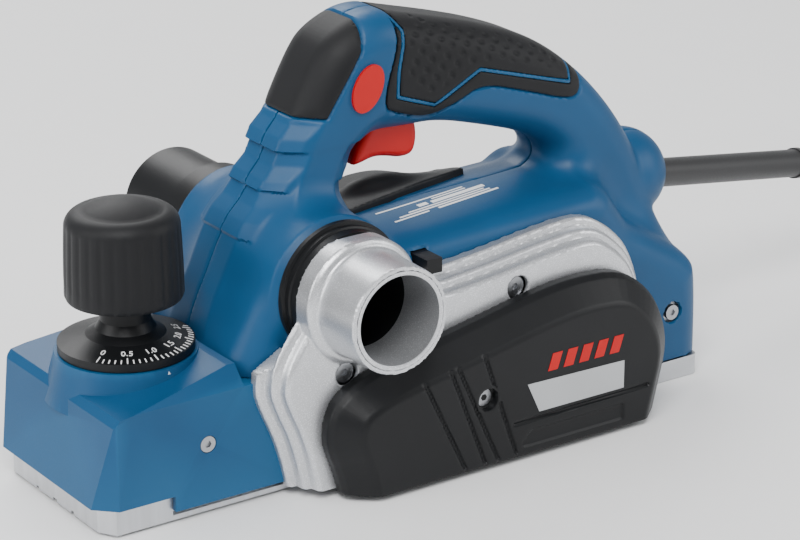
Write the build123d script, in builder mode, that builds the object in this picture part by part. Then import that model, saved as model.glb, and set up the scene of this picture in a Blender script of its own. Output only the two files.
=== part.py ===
"""Electric hand planer: toe at -X, heel at +X, belt side at -Y, rear sole on Z = 0."""

import math
import os

from build123d import *

os.makedirs("parts", exist_ok=True)

# ---------------------------------------------------------------- driving sizes
SOLE_LENGTH = 290.0  # toe to heel of the two sole plates
SOLE_WIDTH = 82.0  # planing width
SOLE_THICKNESS = 9.0
DRUM_RADIUS = 23.5  # cutting circle, tangent to the rear sole
DRUM_X = -27.0
DUCT_X = -39.5  # chip duct axis, along Y
DUCT_Z = 80.0
MOTOR_X = 65.0  # motor axis, along Y
MOTOR_Z = 43.5
DEPTH_SET = 1.1  # planing depth that is set at rest
DEPTH_MAX = 2.6
KNOB_X = -111.1
HANDLE_WIDTH = 39.0
HANDLE_TOP = 178.5
STATOR_RADIUS = 30.0
CORD_DIAMETER = 7.5

# ---------------------------------------------------------------- fits and walls
RUNNING = 0.03  # radial clearance of a shaft in its bearing
THREAD = 0.05  # radial clearance of the spindle in its threads
FREE = 0.3  # clearance between pieces that slide or sit loose
PUSH = 0.02  # radial clearance of a screw shank in its hole
WALL = 2.8  # housing wall
HOOD_WALL = 2.3
GRIP_WALL = 4.0  # handle wall with its soft skin
SKIN = 1.5  # soft skin on the handle
GUARD_WALL = 2.5
COVER_WALL = 2.0
CHEEK = 5.7  # frame side plates

HALF = SOLE_WIDTH / 2
TOE = -SOLE_LENGTH / 2
HEEL = SOLE_LENGTH / 2
CHEEK_IN = HALF + 0.3
CHEEK_OUT = CHEEK_IN + CHEEK
DRUM_Z = DRUM_RADIUS
HANDLE_HALF = HANDLE_WIDTH / 2


def side_plane(y):
    """The XZ plane at this Y, with its normal towards -Y."""
    return Plane.XZ.offset(-y)


def save(piece, label):
    """Name a finished piece and write its STEP file."""
    piece.part.label = label
    export_step(piece.part, f"parts/{label}.step")


def side_prism(points, y_low, y_high, mode=Mode.ADD):
    """Extrude an XZ outline from y_low to y_high in the current part."""
    with BuildSketch(side_plane(y_high)) as outline:
        with BuildLine():
            Polyline(*points, close=True)
        make_face()
    extrude(outline.sketch, amount=y_high - y_low, mode=mode)


def side_disc(x, z, radius, y_low, y_high, mode=Mode.ADD):
    """A cylinder along Y in the current part."""
    with BuildSketch(side_plane(y_high)) as disc:
        with Locations((x, z)):
            Circle(radius)
    extrude(disc.sketch, amount=y_high - y_low, mode=mode)


def box_between(x, y, z, mode=Mode.ADD):
    """A box from three (low, high) pairs in the current part."""
    centre = tuple((low + high) / 2 for low, high in (x, y, z))
    with Locations(centre):
        Box(x[1] - x[0], y[1] - y[0], z[1] - z[0], mode=mode)


# ---------------------------------------------------------------- front shoe
SHOE_Z = DEPTH_SET
SHOE_PLATE = 7.0
SHOE_LIP = 2.0
SHOE_SLOT = 2.0
SHOE_SLOT_DEPTH = 3.0
SHOE_END = DRUM_X - 13.0
SHOE_BLOCK_END = TOE + 29.0
SHOE_BLOCK_TOP = SHOE_Z + 17.0
SPRING_SEAT = SHOE_BLOCK_TOP
DECK_LOW = 26.0
DECK_HIGH = 33.0
SPINDLE_RADIUS = 5.0
TOE_CHAMFER_X = 4.4
TOE_CHAMFER_Y = 7.3
SEAT_HALF = 16.0
HOOD_FRONT_LOW = 12.0

with BuildPart() as front_shoe:
    side_prism(
        [
            (TOE, SHOE_Z),
            (SHOE_END, SHOE_Z),
            (SHOE_END - 9, SHOE_Z + SHOE_PLATE),
            (TOE, SHOE_Z + SHOE_PLATE),
        ],
        -HALF,
        HALF,
    )
    box_between((TOE, SHOE_BLOCK_END), (-HALF, HALF), (SHOE_Z, SHOE_BLOCK_TOP))
    box_between(
        (SHOE_BLOCK_END - 4, KNOB_X + SEAT_HALF),
        (-SEAT_HALF, SEAT_HALF),
        (SHOE_Z, SPRING_SEAT),
    )
    box_between(
        (TOE - 1, TOE + 3.5), (-HALF, HALF), (HOOD_FRONT_LOW + 1.1, SHOE_BLOCK_TOP + 1), Mode.SUBTRACT
    )
    slot_low = SHOE_Z + SHOE_LIP
    for side in (-1, 1):
        edge = sorted((side * HALF, side * (HALF - SHOE_SLOT_DEPTH)))
        box_between(
            (SHOE_BLOCK_END, SHOE_END + 1), edge, (slot_low, slot_low + SHOE_SLOT), Mode.SUBTRACT
        )
        with BuildSketch(Plane.XY.offset(SHOE_Z)) as corner:
            with BuildLine():
                Polyline(
                    (TOE, side * HALF),
                    (TOE + TOE_CHAMFER_X, side * HALF),
                    (TOE, side * (HALF - TOE_CHAMFER_Y)),
                    close=True,
                )
            make_face()
        extrude(corner.sketch, amount=SHOE_BLOCK_TOP, mode=Mode.SUBTRACT)
    with BuildSketch(Plane.XY.offset(SHOE_Z)) as thread:
        with Locations((KNOB_X, 0)):
            Circle(SPINDLE_RADIUS + THREAD)
    extrude(thread.sketch, amount=SHOE_BLOCK_TOP, mode=Mode.SUBTRACT)
    groove = 1.2
    for y in (-14, 0, 14):
        if y == 0:
            side_y = 1.5
        else:
            side_y = 1.0
        box_between(
            (TOE - 1, SHOE_END + 2), (y - side_y, y + side_y), (SHOE_Z - 1, SHOE_Z + groove),
            Mode.SUBTRACT,
        )
save(front_shoe, "front_shoe")

# ---------------------------------------------------------------- frame casting
CHAMBER_IN = DRUM_RADIUS + 1.3
CHAMBER_OUT = CHAMBER_IN + 3.0
FRONT_WALL = (DRUM_X - 35.5, DRUM_X - 32.5)
FRONT_WALL_TOP = 51.3
DECK_HALF = 38.0
BEARING_OUT = 13.0  # drum bearing, outer radius
BEARING_BORE = 5.0
BEARING_WIDTH = 8.0
MOTOR_BEARING_OUT = 11.0
MOTOR_BEARING_BORE = 4.0
MOTOR_BEARING_WIDTH = 7.0
REBATE_CLEAR = 9.6  # lowest point of the right cheek
LUG_X = 130.0
LUG_Z = 31.0
HOOD_SCREW_X = -101.0
HOOD_SCREW_Z = 30.0
SCREW_SHANK = 1.9
GUARD_SCREWS = [(-46.0, 50.6), (36.0, 68.0)]
cheek_outline = [
    (-56, 6.6),
    (-60, 30),
    (-58, 54.5),
    (-20, 57),
    (10, 66),
    (30, 73.5),
    (60, 78),
    (80, 76),
    (97, 60),
    (101, 36),
    (92, 12),
    (86, 6.6),
]
right_cheek_outline = [
    (-58, REBATE_CLEAR + 8),
    (-58, 44),
    (-50, 51),
    (0, 51),
    (6, 45),
    (6, 20),
    (-4, REBATE_CLEAR),
    (-50, REBATE_CLEAR),
]

with BuildPart() as base_frame:
    box_between((DRUM_X + 9, HEEL), (-HALF, HALF), (0, SOLE_THICKNESS))
    sole_corners = base_frame.edges().filter_by(Axis.Z).group_by(Axis.X)[-1]
    fillet(sole_corners, radius=3)
    side_disc(DRUM_X, DRUM_Z, CHAMBER_OUT, -HALF, HALF)
    side_disc(DRUM_X, DRUM_Z, CHAMBER_IN, -HALF, HALF, Mode.SUBTRACT)
    box_between(
        (FRONT_WALL[0], DRUM_X - 2.5), (-HALF - 1, HALF + 1), (-10, DRUM_Z + 60), Mode.SUBTRACT
    )
    box_between(
        (DRUM_X - 40, DRUM_X + 15.8), (-HALF - 1, HALF + 1), (-10, 0), Mode.SUBTRACT
    )
    side_prism(cheek_outline, -CHEEK_OUT, -HALF)
    side_prism(right_cheek_outline, HALF, CHEEK_OUT)
    side_disc(DRUM_X, DRUM_Z, CHAMBER_IN, -CHEEK_IN, -HALF, Mode.SUBTRACT)
    side_disc(DRUM_X, DRUM_Z, CHAMBER_IN, HALF, CHEEK_IN, Mode.SUBTRACT)
    box_between(FRONT_WALL, (-CHEEK_IN, CHEEK_IN), (14, FRONT_WALL_TOP))
    box_between((TOE + 6, FRONT_WALL[0]), (-DECK_HALF, DECK_HALF), (DECK_LOW, DECK_HIGH))
    with BuildSketch(Plane.XY.offset(DECK_HIGH)) as boss:
        with Locations((KNOB_X, 0)):
            Circle(10)
    extrude(boss.sketch, amount=8)
    with BuildSketch(Plane.XY.offset(DECK_LOW)) as spindle_bore:
        with Locations((KNOB_X, 0)):
            Circle(SPINDLE_RADIUS + THREAD)
    extrude(spindle_bore.sketch, amount=20, mode=Mode.SUBTRACT)
    for side in (-1, 1):
        lug = sorted((side * (HALF - 0.4), side * (DECK_HALF - 4)))
        box_between((HOOD_SCREW_X - 5, HOOD_SCREW_X + 5), lug, (DECK_LOW, DECK_HIGH + 2))
        rear_lug = sorted((side * (HALF - WALL - FREE), side * (HALF - WALL - 6)))
        box_between((LUG_X - 5, LUG_X + 5), rear_lug, (SOLE_THICKNESS, LUG_Z + 6))
        for screw_x, screw_z in ((HOOD_SCREW_X, HOOD_SCREW_Z), (LUG_X, LUG_Z)):
            hole = sorted((side * 28, side * HALF))
            side_disc(screw_x, screw_z, SCREW_SHANK + PUSH, hole[0], hole[1], Mode.SUBTRACT)
    left_boss = -CHEEK_IN - BEARING_WIDTH
    side_disc(DRUM_X, DRUM_Z, BEARING_OUT + 3.5, left_boss - 0.2, -CHEEK_IN)
    side_disc(DRUM_X, DRUM_Z, BEARING_OUT, left_boss - 1, -HALF, Mode.SUBTRACT)
    side_disc(DRUM_X, DRUM_Z, BEARING_OUT + 1.2, CHEEK_OUT, -left_boss + 0.2)
    side_disc(DRUM_X, DRUM_Z, BEARING_OUT, HALF, -left_boss + 1, Mode.SUBTRACT)
    side_disc(MOTOR_X, MOTOR_Z, MOTOR_BEARING_OUT + 4, -CHEEK_OUT - 1.8, -CHEEK_IN)
    side_disc(MOTOR_X, MOTOR_Z, MOTOR_BEARING_OUT, -CHEEK_OUT - 3, -HALF, Mode.SUBTRACT)
    for screw_x, screw_z in GUARD_SCREWS:
        side_disc(
            screw_x, screw_z, SCREW_SHANK + PUSH, -CHEEK_OUT - 1, -HALF - 1, Mode.SUBTRACT
        )
save(base_frame, "base_frame")

# ---------------------------------------------------------------- front hood
HOOD_HALF = 43.5
HOOD_REAR = FRONT_WALL[0] - FREE
HOOD_STEP_X = -84.5
HOOD_STEP_Z = 50.0
HOOD_LOW = 5.5
COLLAR_TOP = 57.8
HOOD_CORNER = (8.0, 8.0)  # front corner cut, along X and Y


def hood_outline(inset, low):
    """Side outline of the hood, moved in by a wall thickness at front and top."""
    return [
        (-148.5 + inset, low),
        (-148.5 + inset, HOOD_FRONT_LOW),
        (-141.5 + inset, 46 - inset * 0.8),
        (-139, 49 - inset),
        (-88, 57.5 - inset),
        (HOOD_STEP_X - inset, 57.5 - inset),
        (HOOD_STEP_X - inset, HOOD_STEP_Z - inset),
        (HOOD_REAR, HOOD_STEP_Z - inset),
        (HOOD_REAR, low),
    ]


def cut_corners(half, toe, across, along, height):
    """Take both front corners off the current part, from the floor up to a height."""
    for side in (-1, 1):
        with BuildSketch(Plane.XY.offset(-1)) as corner:
            with BuildLine():
                Polyline(
                    (toe - 5, side * (half + 5)),
                    (toe + along, side * (half + 5)),
                    (toe + along, side * half),
                    (toe, side * (half - across)),
                    (toe - 5, side * (half - across)),
                    close=True,
                )
            make_face()
        extrude(corner.sketch, amount=height, mode=Mode.SUBTRACT)


def cut_shoulders(half, drop):
    """Bevel both long top edges of the current part."""
    for side in (-1, 1):
        with BuildSketch(Plane.YZ.offset(-150)) as bevel:
            with BuildLine():
                Polyline(
                    (side * (half + 1), 49 - drop),
                    (side * (half + 1), 62),
                    (side * (half - 11), 62),
                    close=True,
                )
            make_face()
        extrude(bevel.sketch, amount=66, mode=Mode.SUBTRACT)


with BuildPart() as hood_cavity:
    cavity_half = HOOD_HALF - HOOD_WALL
    side_prism(hood_outline(HOOD_WALL, -1), -cavity_half, cavity_half)
    cut_corners(cavity_half, -148.5 + HOOD_WALL, 7.8, 4.6, 70)
    cut_shoulders(cavity_half, 1)

with BuildPart() as front_hood:
    side_prism(hood_outline(0, HOOD_LOW), -HOOD_HALF, HOOD_HALF)
    box_between(
        (-150, SHOE_BLOCK_END), (-HOOD_HALF, HOOD_HALF), (0, HOOD_FRONT_LOW), Mode.SUBTRACT
    )
    cut_corners(HOOD_HALF, -148.5, HOOD_CORNER[1], HOOD_CORNER[0], 70)
    cut_shoulders(HOOD_HALF, 0)
    with BuildSketch(Plane.XY.offset(40)) as collar_low:
        with Locations((KNOB_X, 0)):
            Circle(33)
    with BuildSketch(Plane.XY.offset(COLLAR_TOP)) as collar_high:
        with Locations((KNOB_X, 0)):
            Circle(28)
    loft([collar_low.sketch.face(), collar_high.sketch.face()])
    box_between((HOOD_STEP_X, 0), (-50, 50), (HOOD_STEP_Z, 70), Mode.SUBTRACT)
    add(hood_cavity.part, mode=Mode.SUBTRACT)
    with BuildSketch(Plane.XY.offset(40)) as spindle_way:
        with Locations((KNOB_X, 0)):
            Circle(SPINDLE_RADIUS + 1)
    extrude(spindle_way.sketch, amount=30, mode=Mode.SUBTRACT)
    for side in (-1, 1):
        lug_gap = sorted((side * (HALF - 0.4), side * (HOOD_HALF - 1)))
        side_disc(HOOD_SCREW_X, HOOD_SCREW_Z, 6, lug_gap[0], lug_gap[1])
        recess = sorted((side * (HOOD_HALF - 1.8), side * (HOOD_HALF + 1)))
        side_disc(HOOD_SCREW_X, HOOD_SCREW_Z, 3.6, recess[0], recess[1], Mode.SUBTRACT)
        through = sorted((side * (HALF - 2), side * HOOD_HALF))
        side_disc(
            HOOD_SCREW_X, HOOD_SCREW_Z, SCREW_SHANK + PUSH, through[0], through[1], Mode.SUBTRACT
        )
save(front_hood, "front_hood")

# ---------------------------------------------------------------- housing halves
DUCT_OUT = 20.5
DUCT_BORE = 18.2
DUCT_MIDDLE = DUCT_BORE + 0.8  # the chute is wider between the two spigot seats
SPIGOT_STOP = 35.5
SHELL_RADIUS = 28.2  # housing round the duct
HOUSING_FLOOR = 54.3
TUNNEL_IN = STATOR_RADIUS + FREE
TUNNEL_OUT = TUNNEL_IN + 2.7
GLAND_CENTRE = (134.3, 2.7, 80.7)
GLAND_RADIUS = 20.0
SLEEVE_DIRECTION = (0.9727, 0.1427, -0.1829)
SLEEVE_RADIUS = 6.35
SLEEVE_START = 12.0
SLEEVE_END = 122.0
TRIGGER_HALF = 8.6
LEVER_X = 0.0
LEVER_HALF = 3.6
LEVER_LOW = 80.0
LEVER_HIGH = 86.0
LOCK_X = -11.0
LOCK_Z = 150.0
LEAN = math.degrees(math.atan2(2.0, 1.0)) - 90  # lean of the front leg from upright
SWITCH_X = (-1.0, 36.0)
SWITCH_Z = (141.0, 160.0)
SWITCH_HALF = 9.0
HALF_SCREWS = [(-68.0, 68.0), (-27.0, 128.0), (98.0, 112.0), (112.0, 20.0)]
LABEL_POCKET = 0.8


def sleeve_point(distance):
    """A point on the axis of the cord sleeve, from the centre of the gland."""
    start = (134.3, 2.7, 79.2)
    return tuple(a + distance * b for a, b in zip(start, SLEEVE_DIRECTION))


body_outline = [
    (-84, 50.3),
    (-84, 54),
    (-64.7, 92.6),
    (-39.5, 92),
    (94, 97),
    (106, 80),
    (111, 72.5),
    (125, 64),
    (144, 53),
    (149, 44),
    (148, SOLE_THICKNESS + FREE),
    (24, SOLE_THICKNESS + FREE),
    (24, HOUSING_FLOOR),
    (FRONT_WALL[0], HOUSING_FLOOR),
    (FRONT_WALL[0], 50.3),
]
handle_outline = [
    (-84, 54),
    (-40, 142),
    (-24, 172),
    (-3, HANDLE_TOP),
    (14, 173),
    (55, 162),
    (90, 145),
    (122, 113),
    (140, 74),
    (147, 51),
    (140, 40),
    (-50, 60),
]
handle_corners = [0, 60, 24, 18, 60, 60, 50, 60, 60, 0, 0, 0]
opening_outline = [
    (-26, 96),
    (-10, 129),
    (29, 127),
    (78, 110),
    (79, 92),
    (64, 84),
    (-20, 84),
]
opening_corners = [4, 7, 30, 9, 6, 3, 3]


def rounded_sketch(points, corners, grow, y):
    """A closed XZ outline with its own corner radii, grown or shrunk, drawn at this Y."""
    with BuildSketch(side_plane(y)) as outline:
        with BuildLine():
            FilletPolyline(*points, radius=corners, close=True)
        make_face()
        if grow:
            offset(amount=grow, kind=Kind.ARC)
    return outline.sketch


def handle_ring(inset):
    """The handle's bow as one solid, moved in all round by a wall thickness."""
    half = HANDLE_HALF - inset
    with BuildPart() as gap:
        extrude(rounded_sketch(opening_outline, opening_corners, inset, 60), amount=120)
    with BuildPart() as bow:
        extrude(rounded_sketch(handle_outline, handle_corners, -inset, half), amount=2 * half)
        edges = bow.edges().filter_by(lambda e: abs(abs(e.center().Y) - half) < 0.01)
        upper = edges.filter_by(lambda e: e.center().Z > 80 and e.center().X < 135)
        fillet(upper, radius=13 - inset)
        add(gap.part, mode=Mode.SUBTRACT)
        rim = bow.edges().filter_by(lambda e: abs(abs(e.center().Y) - half) < 0.01)
        rim = rim.filter_by(lambda e: 99 < e.center().Z < 130 and -20 < e.center().X < 78.5)
        fillet(rim, radius=10 - inset)
    return bow.part


def body_block(inset):
    """The full-width body round the motor and the chip duct, moved in by a wall thickness."""
    half = HALF - inset
    with BuildPart() as block:
        with BuildSketch(side_plane(half)) as side:
            with BuildLine():
                Polyline(*body_outline, close=True)
            make_face()
            if inset:
                offset(amount=-inset, kind=Kind.INTERSECTION)
        extrude(side.sketch, amount=2 * half)
        edges = block.edges().filter_by(lambda e: abs(abs(e.center().Y) - half) < 0.01)
        top = edges.filter_by(lambda e: e.center().Z > 90 and e.length > 90)
        fillet(top, radius=14 - inset)
        side_disc(DUCT_X, DUCT_Z, SHELL_RADIUS - inset, -half, half)
    return block.part


handle_outer = handle_ring(0)
handle_inner = handle_ring(GRIP_WALL)
body_outer = body_block(0)
body_inner = body_block(WALL)

nose_region = [(-70, 142.5), (-40, 142.5), (-29, 139), (-12, 164), (-3, 184), (-30, 190), (-70, 190)]
grip_region = [
    (-5, 139.5),
    (21, 129.5),
    (43, 139.5),
    (90, 125.5),
    (97, 127),
    (99, 133),
    (94, 140),
    (88, 147),
    (86, 160),
    (40, 190),
    (4, 190),
    (-1, 172),
]
skin_shell = handle_ring(0) - handle_ring(SKIN)
with BuildPart() as skin_stock:
    side_prism(nose_region, -HANDLE_HALF - 1, HANDLE_HALF + 1)
    side_prism(grip_region, -HANDLE_HALF - 1, HANDLE_HALF + 1)
    add(skin_shell, mode=Mode.INTERSECT)

with BuildPart() as lock_way:
    with BuildSketch(side_plane(HANDLE_HALF + 2)) as slot:
        with Locations(Location((LOCK_X, LOCK_Z), LEAN)):
            Ellipse(6.5 + FREE, 10 + FREE)
    extrude(slot.sketch, amount=HANDLE_WIDTH + 4)

with BuildPart() as housing:
    add(body_outer)
    add(handle_outer)
    with Locations(GLAND_CENTRE):
        Sphere(GLAND_RADIUS)
    box_between((24, 140), (-HALF, HALF), (0, SOLE_THICKNESS + FREE), Mode.SUBTRACT)
    add(body_inner, mode=Mode.SUBTRACT)
    add(handle_inner, mode=Mode.SUBTRACT)
    with Locations(GLAND_CENTRE):
        Sphere(GLAND_RADIUS - WALL, mode=Mode.SUBTRACT)
    inner_half = HALF - WALL
    box_between((26.8, 145), (-inner_half, inner_half), (0, 13), Mode.SUBTRACT)
    box_between((FRONT_WALL[0], 22), (-inner_half, inner_half), (50, 60), Mode.SUBTRACT)
    add(skin_stock.part, mode=Mode.SUBTRACT)
    side_disc(MOTOR_X, MOTOR_Z, TUNNEL_OUT, -inner_half, inner_half)
    side_disc(MOTOR_X, MOTOR_Z, TUNNEL_IN, -HALF - 1, inner_half, Mode.SUBTRACT)
    side_disc(MOTOR_X, MOTOR_Z, MOTOR_BEARING_OUT + 3, 31, inner_half)
    side_disc(MOTOR_X, MOTOR_Z, MOTOR_BEARING_OUT, 31, inner_half, Mode.SUBTRACT)
    side_disc(DUCT_X, DUCT_Z, DUCT_OUT + FREE, -HALF - 1, HALF + 1, Mode.SUBTRACT)
    box_between(
        (-13, 19), (-TRIGGER_HALF - FREE, TRIGGER_HALF + FREE), (108, 137), Mode.SUBTRACT
    )
    add(lock_way.part, mode=Mode.SUBTRACT)
    box_between(
        (LEVER_X - LEVER_HALF - FREE, LEVER_X + LEVER_HALF + FREE),
        (-HALF - 1, HALF + 1),
        (LEVER_LOW - FREE, LEVER_HIGH + FREE),
        Mode.SUBTRACT,
    )
    for side in (-1, 1):
        rib = sorted((side * (SWITCH_HALF + 0.1), side * (HANDLE_HALF - GRIP_WALL + 0.5)))
        for rib_x in (SWITCH_X[0] + 6, SWITCH_X[1] - 6):
            box_between((rib_x - 1, rib_x + 1), rib, (SWITCH_Z[0], SWITCH_Z[1]))
    for screw_x, screw_z in HALF_SCREWS:
        if screw_z > 100:
            reach = HANDLE_HALF - GRIP_WALL + 0.5
        else:
            reach = inner_half + 0.5
        side_disc(screw_x, screw_z, 4.2, -reach, reach)
    for screw_x, screw_z in HALF_SCREWS:
        side_disc(screw_x, screw_z, SCREW_SHANK + PUSH, -9, 13, Mode.SUBTRACT)
        side_disc(screw_x, screw_z, 3.4, 12, HALF + 1, Mode.SUBTRACT)
    for index in range(6):
        vent_x = 78 + 6 * index
        vent_low = 66 - 5 * index
        box_between((vent_x, vent_x + 3), (HALF - 4, HALF + 1), (18, vent_low), Mode.SUBTRACT)
    for side in (-1, 1):
        through = sorted((side * (HALF - 5), side * (HALF + 1)))
        side_disc(LUG_X, LUG_Z, SCREW_SHANK + PUSH, through[0], through[1], Mode.SUBTRACT)
        head = sorted((side * (HALF - 1.8), side * (HALF + 1)))
        side_disc(LUG_X, LUG_Z, 3.6, head[0], head[1], Mode.SUBTRACT)
    with BuildSketch(
        Plane(origin=sleeve_point(0), x_dir=(0, 1, 0), z_dir=SLEEVE_DIRECTION)
    ) as gland_bore:
        Circle(SLEEVE_RADIUS + PUSH)
    extrude(gland_bore.sketch, amount=40, mode=Mode.SUBTRACT)

with BuildPart() as housing_left:
    add(housing.part)
    split(bisect_by=Plane.XZ, keep=Keep.TOP)
save(housing_left, "housing_left")

with BuildPart() as housing_right:
    add(housing.part)
    split(bisect_by=Plane.XZ, keep=Keep.BOTTOM)
save(housing_right, "housing_right")

for label, region, keep in (
    ("nose_skin_left", nose_region, Keep.TOP),
    ("nose_skin_right", nose_region, Keep.BOTTOM),
    ("grip_skin_left", grip_region, Keep.TOP),
    ("grip_skin_right", grip_region, Keep.BOTTOM),
):
    with BuildPart() as skin:
        side_prism(region, -HANDLE_HALF - 1, HANDLE_HALF + 1)
        add(skin_shell, mode=Mode.INTERSECT)
        add(lock_way.part, mode=Mode.SUBTRACT)
        split(bisect_by=Plane.XZ, keep=keep)
    save(skin, label)

with BuildPart() as top_panel:
    with BuildSketch(side_plane(32)) as hump:
        with BuildLine():
            Polyline(
                (-8, 88), (-6, 97), (10, 102.5), (30, 102.5), (44, 98.5), (52, 90), close=True
            )
        make_face()
    extrude(hump.sketch, amount=31)
    fillet(top_panel.faces().sort_by(Axis.Y)[-1].edges().filter_by(lambda e: e.center().Z > 91), 5)
    add(body_outer, mode=Mode.SUBTRACT)
    add(handle_outer, mode=Mode.SUBTRACT)
    side_disc(DUCT_X, DUCT_Z, SHELL_RADIUS + 1, -HALF, HALF, Mode.SUBTRACT)
save(top_panel, "top_panel")

# ---------------------------------------------------------------- right side cover
SIDE_COVER_OUT = 53.0

with BuildPart() as side_cover:
    with BuildSketch(side_plane(SIDE_COVER_OUT)) as shell:
        with BuildLine():
            Polyline(*right_cheek_outline, close=True)
        make_face()
        offset(amount=2.6, kind=Kind.ARC)
    extrude(shell.sketch, amount=SIDE_COVER_OUT - CHEEK_IN)
    fillet(side_cover.faces().sort_by(Axis.Y)[-1].edges(), 2)
    with BuildSketch(side_plane(SIDE_COVER_OUT - 2)) as hollow:
        with BuildLine():
            Polyline(*right_cheek_outline, close=True)
        make_face()
        offset(amount=0.4, kind=Kind.ARC)
    extrude(hollow.sketch, amount=SIDE_COVER_OUT, mode=Mode.SUBTRACT)
    side_disc(DRUM_X, DRUM_Z, BEARING_OUT + 1.6, 0, SIDE_COVER_OUT - 2, Mode.SUBTRACT)
    box_between((-80, 40), (0, 60), (0, 9.4), Mode.SUBTRACT)
save(side_cover, "side_cover")

# ---------------------------------------------------------------- chip duct
NECK_X = (DRUM_X - 33, DRUM_X - 0.5)
NECK_LOW = FRONT_WALL_TOP + 0.1
NECK_HALF = 37.0
NECK_WALL = 2.4
LINER_OUT = 19.6
GUARD_OUT = 57.0
NOZZLE_END = 83.5
DUCT_FAR = 86.0
FLAP_Z = 60.0
CRANK_RADIUS = 2.0

with BuildPart() as chip_duct:
    side_disc(DUCT_X, DUCT_Z, DUCT_OUT, -GUARD_OUT + GUARD_WALL, HALF + 10)
    side_disc(DUCT_X, DUCT_Z, LINER_OUT, -NOZZLE_END + 0.8, -GUARD_OUT + GUARD_WALL)
    side_disc(DUCT_X, DUCT_Z, 24.6, HALF + 0.3, HALF + 11)
    side_disc(DUCT_X, DUCT_Z, 22.0, HALF + 11, DUCT_FAR)
    box_between(NECK_X, (-NECK_HALF, NECK_HALF), (NECK_LOW, DUCT_Z - 12))
    side_disc(DUCT_X, DUCT_Z, DUCT_BORE, -NOZZLE_END, DUCT_FAR + 1, Mode.SUBTRACT)
    side_disc(DUCT_X, DUCT_Z, DUCT_MIDDLE, -SPIGOT_STOP, SPIGOT_STOP, Mode.SUBTRACT)
    box_between(
        (NECK_X[0] + NECK_WALL, NECK_X[1] - NECK_WALL),
        (-NECK_HALF + NECK_WALL, NECK_HALF - NECK_WALL),
        (NECK_LOW - 1, DUCT_Z),
        Mode.SUBTRACT,
    )
    with BuildSketch(Plane.YZ.offset(NECK_X[0])) as pivot:
        with Locations((0, FLAP_Z)):
            Circle(CRANK_RADIUS + RUNNING)
    extrude(pivot.sketch, amount=60, mode=Mode.SUBTRACT)
save(chip_duct, "chip_duct")

# ---------------------------------------------------------------- chip deflector and its lever
FLAP_SWING = 40.0
CRANK_LENGTH = 9.3
LEVER_TRAVEL = 12.0
LEVER_END = 50.0

flap_plane = Plane(
    origin=(0, 0, FLAP_Z),
    x_dir=(1, 0, 0),
    z_dir=(0, math.cos(math.radians(FLAP_SWING)), math.sin(math.radians(FLAP_SWING))),
)
with BuildPart() as chip_deflector:
    with BuildSketch(flap_plane.offset(-1.0)) as vane:
        with BuildLine():
            Polyline(
                (NECK_X[0] + NECK_WALL + 0.8, 0),
                (NECK_X[0] + NECK_WALL + 0.8, -16),
                (NECK_X[0] + NECK_WALL + 4, -24),
                (NECK_X[1] - NECK_WALL - 4, -24),
                (NECK_X[1] - NECK_WALL - 0.8, -16),
                (NECK_X[1] - NECK_WALL - 0.8, 0),
                close=True,
            )
        make_face()
    extrude(vane.sketch, amount=2)
    with BuildSketch(Plane.YZ.offset(NECK_X[0] + 0.2)) as pivot:
        with Locations((0, FLAP_Z)):
            Circle(CRANK_RADIUS)
    extrude(pivot.sketch, amount=LEVER_X + LEVER_HALF - NECK_X[0])
    tip_y = -CRANK_LENGTH * math.sin(math.radians(FLAP_SWING))
    tip_z = FLAP_Z + CRANK_LENGTH * math.cos(math.radians(FLAP_SWING))
    with BuildSketch(Plane.YZ.offset(LEVER_X - LEVER_HALF + 0.8)) as crank:
        with Locations((0, FLAP_Z)):
            Circle(3)
        with Locations((tip_y, tip_z)):
            Circle(CRANK_RADIUS)
        make_hull()
    extrude(crank.sketch, amount=2 * LEVER_HALF - 1.6)
save(chip_deflector, "chip_deflector")

lever_middle = tip_y
SLOT_HALF = CRANK_RADIUS + 1.0  # the crank, which widens towards its foot, swings in this slot

with BuildPart() as direction_lever:
    box_between(
        (LEVER_X - LEVER_HALF, LEVER_X + LEVER_HALF), (-LEVER_END, LEVER_END - 14),
        (LEVER_LOW, LEVER_HIGH),
    )
    box_between(
        (LEVER_X - LEVER_HALF + 0.4, LEVER_X + LEVER_HALF - 0.4),
        (lever_middle - 7, lever_middle + 7),
        (FLAP_Z + CRANK_LENGTH - 2.0, LEVER_LOW),
    )
    box_between(
        (LEVER_X - LEVER_HALF, LEVER_X + LEVER_HALF),
        (lever_middle - SLOT_HALF, lever_middle + SLOT_HALF),
        (FLAP_Z, FLAP_Z + CRANK_LENGTH + 3.5),
        Mode.SUBTRACT,
    )
save(direction_lever, "direction_lever")

# ---------------------------------------------------------------- belt guard
GUARD_BACK = CHEEK_IN
NOZZLE_OUT = 21.5
BOSS_RADIUS = 25.0
guard_outline = [
    (-62, 3.6),
    (-79, 42),
    (-79, 57),
    (-66, 78),
    (-52, 90),
    (-24, 90),
    (-8, 78),
    (54, 86),
    (74, 86.5),
    (98, 68),
    (107, 47),
    (108, 29),
    (98, 3.6),
]
guard_corners = [3, 12, 10, 30, 16, 16, 14, 20, 24, 30, 40, 30, 6]

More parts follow.
